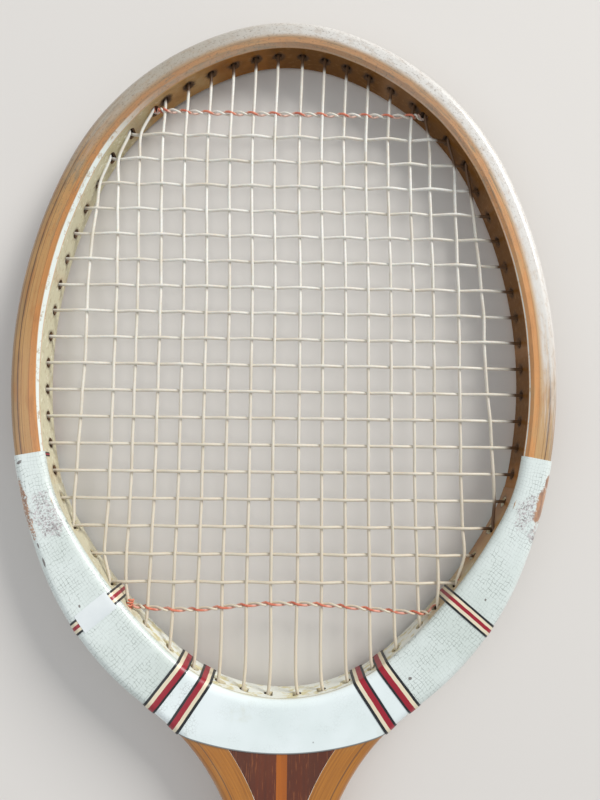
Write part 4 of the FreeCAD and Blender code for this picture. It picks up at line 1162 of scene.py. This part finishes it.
def cross_path():
    path = []
    for j, h in enumerate(HEIGHTS):
        rightwards = j % 2 == 0
        if path:
            path += groove_points(SIDE_HOLES[j - 1], SIDE_HOLES[j], -HOLE_STAGGER, not rightwards, not rightwards)
        path += cross_run(j, h)[::1 if rightwards else -1]
    return path


def treble_row(name, height, h, node, paint, sag, loose):
    """Cream and orange strands twisted round each other between the mains."""
    edge, y = h["mouth"]
    met = [(x if right else -x, lift) for i, x, right, lift in mains_met(height, edge, 2.0)]
    xs, lifts = [x for x, lift in met], [lift for x, lift in met]
    marks = [-edge + 2.0] + xs + [edge - 2.0]
    for first, colour, material in ((0.0, "cream", GUT_PAINT), (1.0, "orange", paint)):
        points = []
        for k, (x0, x1) in enumerate(zip(marks, marks[1:])):
            for t in (0.0, 0.2, 0.4, 0.6, 0.8):
                turn = pi * (2.0 * (k + t) - loose * sin(pi * t) + first)
                x = x0 + (x1 - x0) * t
                points.append(np.array([x, GRID_Y + height + sag(x) + STRAND_OUT * sin(turn),
                                        float(np.interp(x, xs, lifts)) * 0.8 - STRAND_UP * cos(turn)]))
        ends = [point3((edge - 0.6, y - 0.2), -HOLE_STAGGER), point3((edge + 3.0, y + 1.5), -HOLE_STAGGER)]
        path = [flipped(p, False) for p in ends[::-1]] + points + ends
        cord(name + "_" + colour, smooth_path(path, TREBLE_STEP), TREBLE_R + 0.05, material, "trebling", (node,))


def low_sag(x):
    """The low row hangs away from the middle towards both sides."""
    if x > 0:
        return 0.6 - 3.4 * float(smooth_step(6.0, 60.0, x))
    return 0.6 - 2.6 * float(smooth_step(4.0, 42.0, -x)) + 1.6 * float(smooth_step(46.0, 66.0, -x))


def wrapping(name, middle, length, turns, way):
    """Thread whipped round a string close to the frame."""
    way = np.array([way[0], way[1], 0.0]) / hypot(*way)
    aside = np.array([-way[1], way[0], 0.0])
    points = []
    for k in range(int(turns * 12) + 1):
        t = 2 * pi * k / 12.0
        radius = 1.15 + 0.12 * sin(2.3 * t)
        points.append(point3(middle, 0.5) + way * length * (k / (turns * 12.0) - 0.5)
                      + aside * radius * cos(t) + np.array([0.0, 0.0, radius * sin(t)]))
    cord(name, points, TREBLE_R, ORANGE_PAINT, "trebling")


def knot(name, middle, size):
    """Trebling tied off in an overhand knot with two short tails."""
    x, y = middle
    points = [np.array([x - 0.2 * size, y - 2.6 * size, 0.2])]
    for k in range(33):
        t = 2 * pi * (0.08 + 0.84 * k / 32.0)
        points.append(np.array([x + size * 0.42 * (sin(t) + 2.0 * sin(2.0 * t)),
                                y + size * 0.50 * (cos(t) - 2.0 * cos(2.0 * t)), 0.9 - size * 0.45 * sin(3.0 * t)]))
    points.append(np.array([x + 1.3 * size, y - 2.1 * size, 0.4]))
    cord(name, smooth_path(points, 0.7), TREBLE_R + 0.12, KNOT_PAINT, "trebling")


gut_piece("main_gut", main_path(), "main_string")
gut_piece("cross_gut", cross_path(), "cross_string")
treble_row("top_treble", TREBLE_TOP, TREBLES["top"], "treble_top", TOP_THREAD, lambda x: 0.15 * sin(x * 0.055), 0.0)
treble_row("low_treble", TREBLE_LOW, TREBLES["low"], "treble_low", LOW_THREAD, low_sag, 0.35)
wrapping("treble_wrap_low", (-65.4, GRID_Y - 109.0), 5.4, 4.5, (0.25, 1.0))
wrapping("treble_wrap_high", (-63.4, GRID_Y + 110.6), 4.0, 3.0, (0.95, 0.3))
knot("treble_knot", (76.6, GRID_Y - 98.2), 1.75)

# ---- handle ----
CORE_X, CORE_Z = SHAFT_OUTSIDE + 1.5, HALF + 5.2
OCTAGON_CUT = CORE_Z - (HALF - 2.2)
WRAP_PITCH, WRAP_GAP, WRAP_BEVEL = 27.0, 0.35, 1.1
WRAP_LOW, WRAP_HIGH = 3.2, 184.0
STEPS_A_TURN, UV_A_TURN = 56, 0.092
FLARE_LENGTH, FLARE, SEAT = 26.0, 3.0, 0.4
COLLAR_LENGTH, COLLAR_THICK = 8.0, 1.2


def octagon(turns, grow, soft=0.016):
    """Point (x, z) round the handle's eight flats, with its corners a little rounded."""
    cut = OCTAGON_CUT + grow * (2.0 - sqrt(2.0))
    x, z = CORE_X + grow, CORE_Z + grow
    corners = [(x, z - cut), (x - cut, z), (-x + cut, z), (-x, z - cut),
               (-x, -z + cut), (-x + cut, -z), (x - cut, -z), (x, -z + cut)]
    total = np.zeros(2)
    for shift in (-soft, -soft / 2, 0.0, soft / 2, soft):
        place = ((turns + shift) * 8.0) % 8.0
        k = int(place)
        share = place - k
        total += np.array(corners[k % 8]) * (1.0 - share) + np.array(corners[(k + 1) % 8]) * share
    return total / 5.0


def flare_at(y):
    return FLARE * max(0.0, 1.0 - (y - BUTT_CAP) / (FLARE_LENGTH - BUTT_CAP)) ** 2


def grip_piece():
    """Leather strip wound up the handle, crowned, with rolled edges that meet in a groove."""
    width = WRAP_PITCH - WRAP_GAP
    outer = [(0.0, 0.15), (0.05, 0.75), (0.35, 1.22), (WRAP_BEVEL, 1.5)]
    outer += [(WRAP_BEVEL + (width - 2 * WRAP_BEVEL) * k / 6.0, 1.5 + 0.1 * sin(pi * k / 6.0)) for k in range(1, 6)]
    outer += [(width - a, lift) for a, lift in outer[3::-1]]
    section = outer + [(width * 0.75, 0.0), (width * 0.25, 0.0)]
    steps = STEPS_A_TURN * (int(ceil((WRAP_HIGH - WRAP_LOW) / WRAP_PITCH)) + 1) + 1
    points, uvs = [], []
    for step in range(steps):
        t = step / STEPS_A_TURN
        low = WRAP_LOW - WRAP_PITCH + t * WRAP_PITCH
        for a, lift in section:
            crease = 0.12 * sin(0.9 * a + 5.0 * t) * sin(2.3 * t) if 0.5 < lift else 0.0
            x, z = octagon(t, SEAT + flare_at(max(WRAP_LOW, low + a)) + max(0.0, lift - abs(crease)))
            points.append((x, low + a, z))
            uvs.append((t * UV_A_TURN, a / width))
    mesh = piece("grip_wrap", [(points, ring_faces(steps, len(section)), uvs)], (LEATHER_PAINT,), "grip_leather",
                 ("grip_leather",), 50.0).data
    work = bmesh.new()
    work.from_mesh(mesh)
    for y, way in ((WRAP_LOW, -1.0), (WRAP_HIGH, 1.0)):
        everything = work.verts[:] + work.edges[:] + work.faces[:]
        bmesh.ops.bisect_plane(work, geom=everything, plane_co=(0, y * MM, 0), plane_no=(0, way, 0), clear_outer=True)
        bmesh.ops.remove_doubles(work, verts=work.verts, dist=4e-6)
        bmesh.ops.dissolve_degenerate(work, edges=work.edges, dist=4e-6)
        bmesh.ops.holes_fill(work, edges=[e for e in work.edges if e.is_boundary])
    bmesh.ops.recalc_face_normals(work, faces=work.faces)
    work.to_mesh(mesh)
    work.free()


def turned(name, profile, paint, slot, node, closed):
    """Eight-sided ring or cap through (y, grow) pairs."""
    count = 64
    points = [(x, y, z) for y, grow in profile for x, z in (octagon(k / count, grow) for k in range(count))]
    uvs = [(k / count, i / len(profile)) for i in range(len(profile)) for k in range(count)]
    faces = ring_faces(len(profile), count, close_rows=closed)
    piece(name, [(points, faces, uvs)], (paint,), slot, (node,), 35.0)


grip_piece()
base = WRAP_HIGH + WRAP_GAP
dips = {3: 0.35, 2: 0.12, 4: 0.12}    # the collar's ribs: six steps each, and how far in some of them lie
ribs = [(base + 0.3 + 7.4 * k / 24.0, COLLAR_THICK - dips.get(k % 6, 0.0)) for k in range(25)]
turned("grip_band", [(base, 0.03), (base, 0.9)] + ribs + [(base + COLLAR_LENGTH, 0.9), (base + COLLAR_LENGTH, 0.03)],
       COLLAR_PAINT, "collar_tape", "grip_collar", True)
turned("butt_plate", [(0.35, -9.0), (0.35, -3.2), (0.2, -2.5), (0.0, -2.1), (0.0, 3.4), (0.14, 4.2), (0.5, 4.75),
                      (1.0, 5.0), (2.1, 5.0), (BUTT_CAP, 4.85)], CAP_PAINT, "cap_leather", "butt_cap", False)

# ---- carried-over wood ----
FINISHES = {
    "wedge_left": MAHOGANY, "wedge_right": MAHOGANY, "centre_strip": TAN_WOOD,
    "cheek_front": GOLD_WOOD, "cheek_back": GOLD_WOOD, "slip_left": GOLD_WOOD, "slip_right": GOLD_WOOD,
    "butt_flare": FLARE_WOOD,
}
for name, finish in FINISHES.items():
    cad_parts[name].data.materials.clear()
    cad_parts[name].data.materials.append(finish)

# ---- floor and light ----
FLOOR_LOW, FLOOR_TIP = -19.82, -9.06      # under the butt and under the tip
slope = atan2(FLOOR_TIP - FLOOR_LOW, LENGTH)
bpy.ops.mesh.primitive_plane_add(size=5.0)
floor = bpy.context.active_object
floor.name = "floor"
floor.matrix_world = (Matrix.Translation((0.0, LENGTH * MM / 2, (FLOOR_LOW + FLOOR_TIP) / 2 * MM))
                      @ Matrix.Rotation(slope, 4, 'X'))
floor.data.materials.append(Paint("floor_plain", Roughness=0.9).finished(rgb(214, 210, 205)))


def area_light(name, place, target, size, power, colour):
    data = bpy.data.lights.new(name, "AREA")
    data.shape, data.size, data.energy, data.color = 'SQUARE', size, power, colour
    lamp = bpy.data.objects.new(name, data)
    lamp.location = place
    lamp.rotation_euler = (Vector(target) - Vector(place)).to_track_quat('-Z', 'Y').to_euler()
    bpy.context.scene.collection.objects.link(lamp)


area_light("key", (1.9, 2.2, 1.5), (0.0, 0.5, 0.0), 1.2, 88.0, (1.0, 0.99, 0.97))
area_light("fill", (-0.9, 0.1, 1.2), (0.0, 0.45, 0.0), 1.2, 5.0, (0.96, 0.98, 1.0))

world = bpy.data.worlds.new("studio")
bpy.context.scene.world = world
world.use_nodes = True
sky = world.node_tree.nodes["Background"]
sky.inputs["Color"].default_value = (0.86, 0.89, 0.93, 1.0)
sky.inputs["Strength"].default_value = 0.55
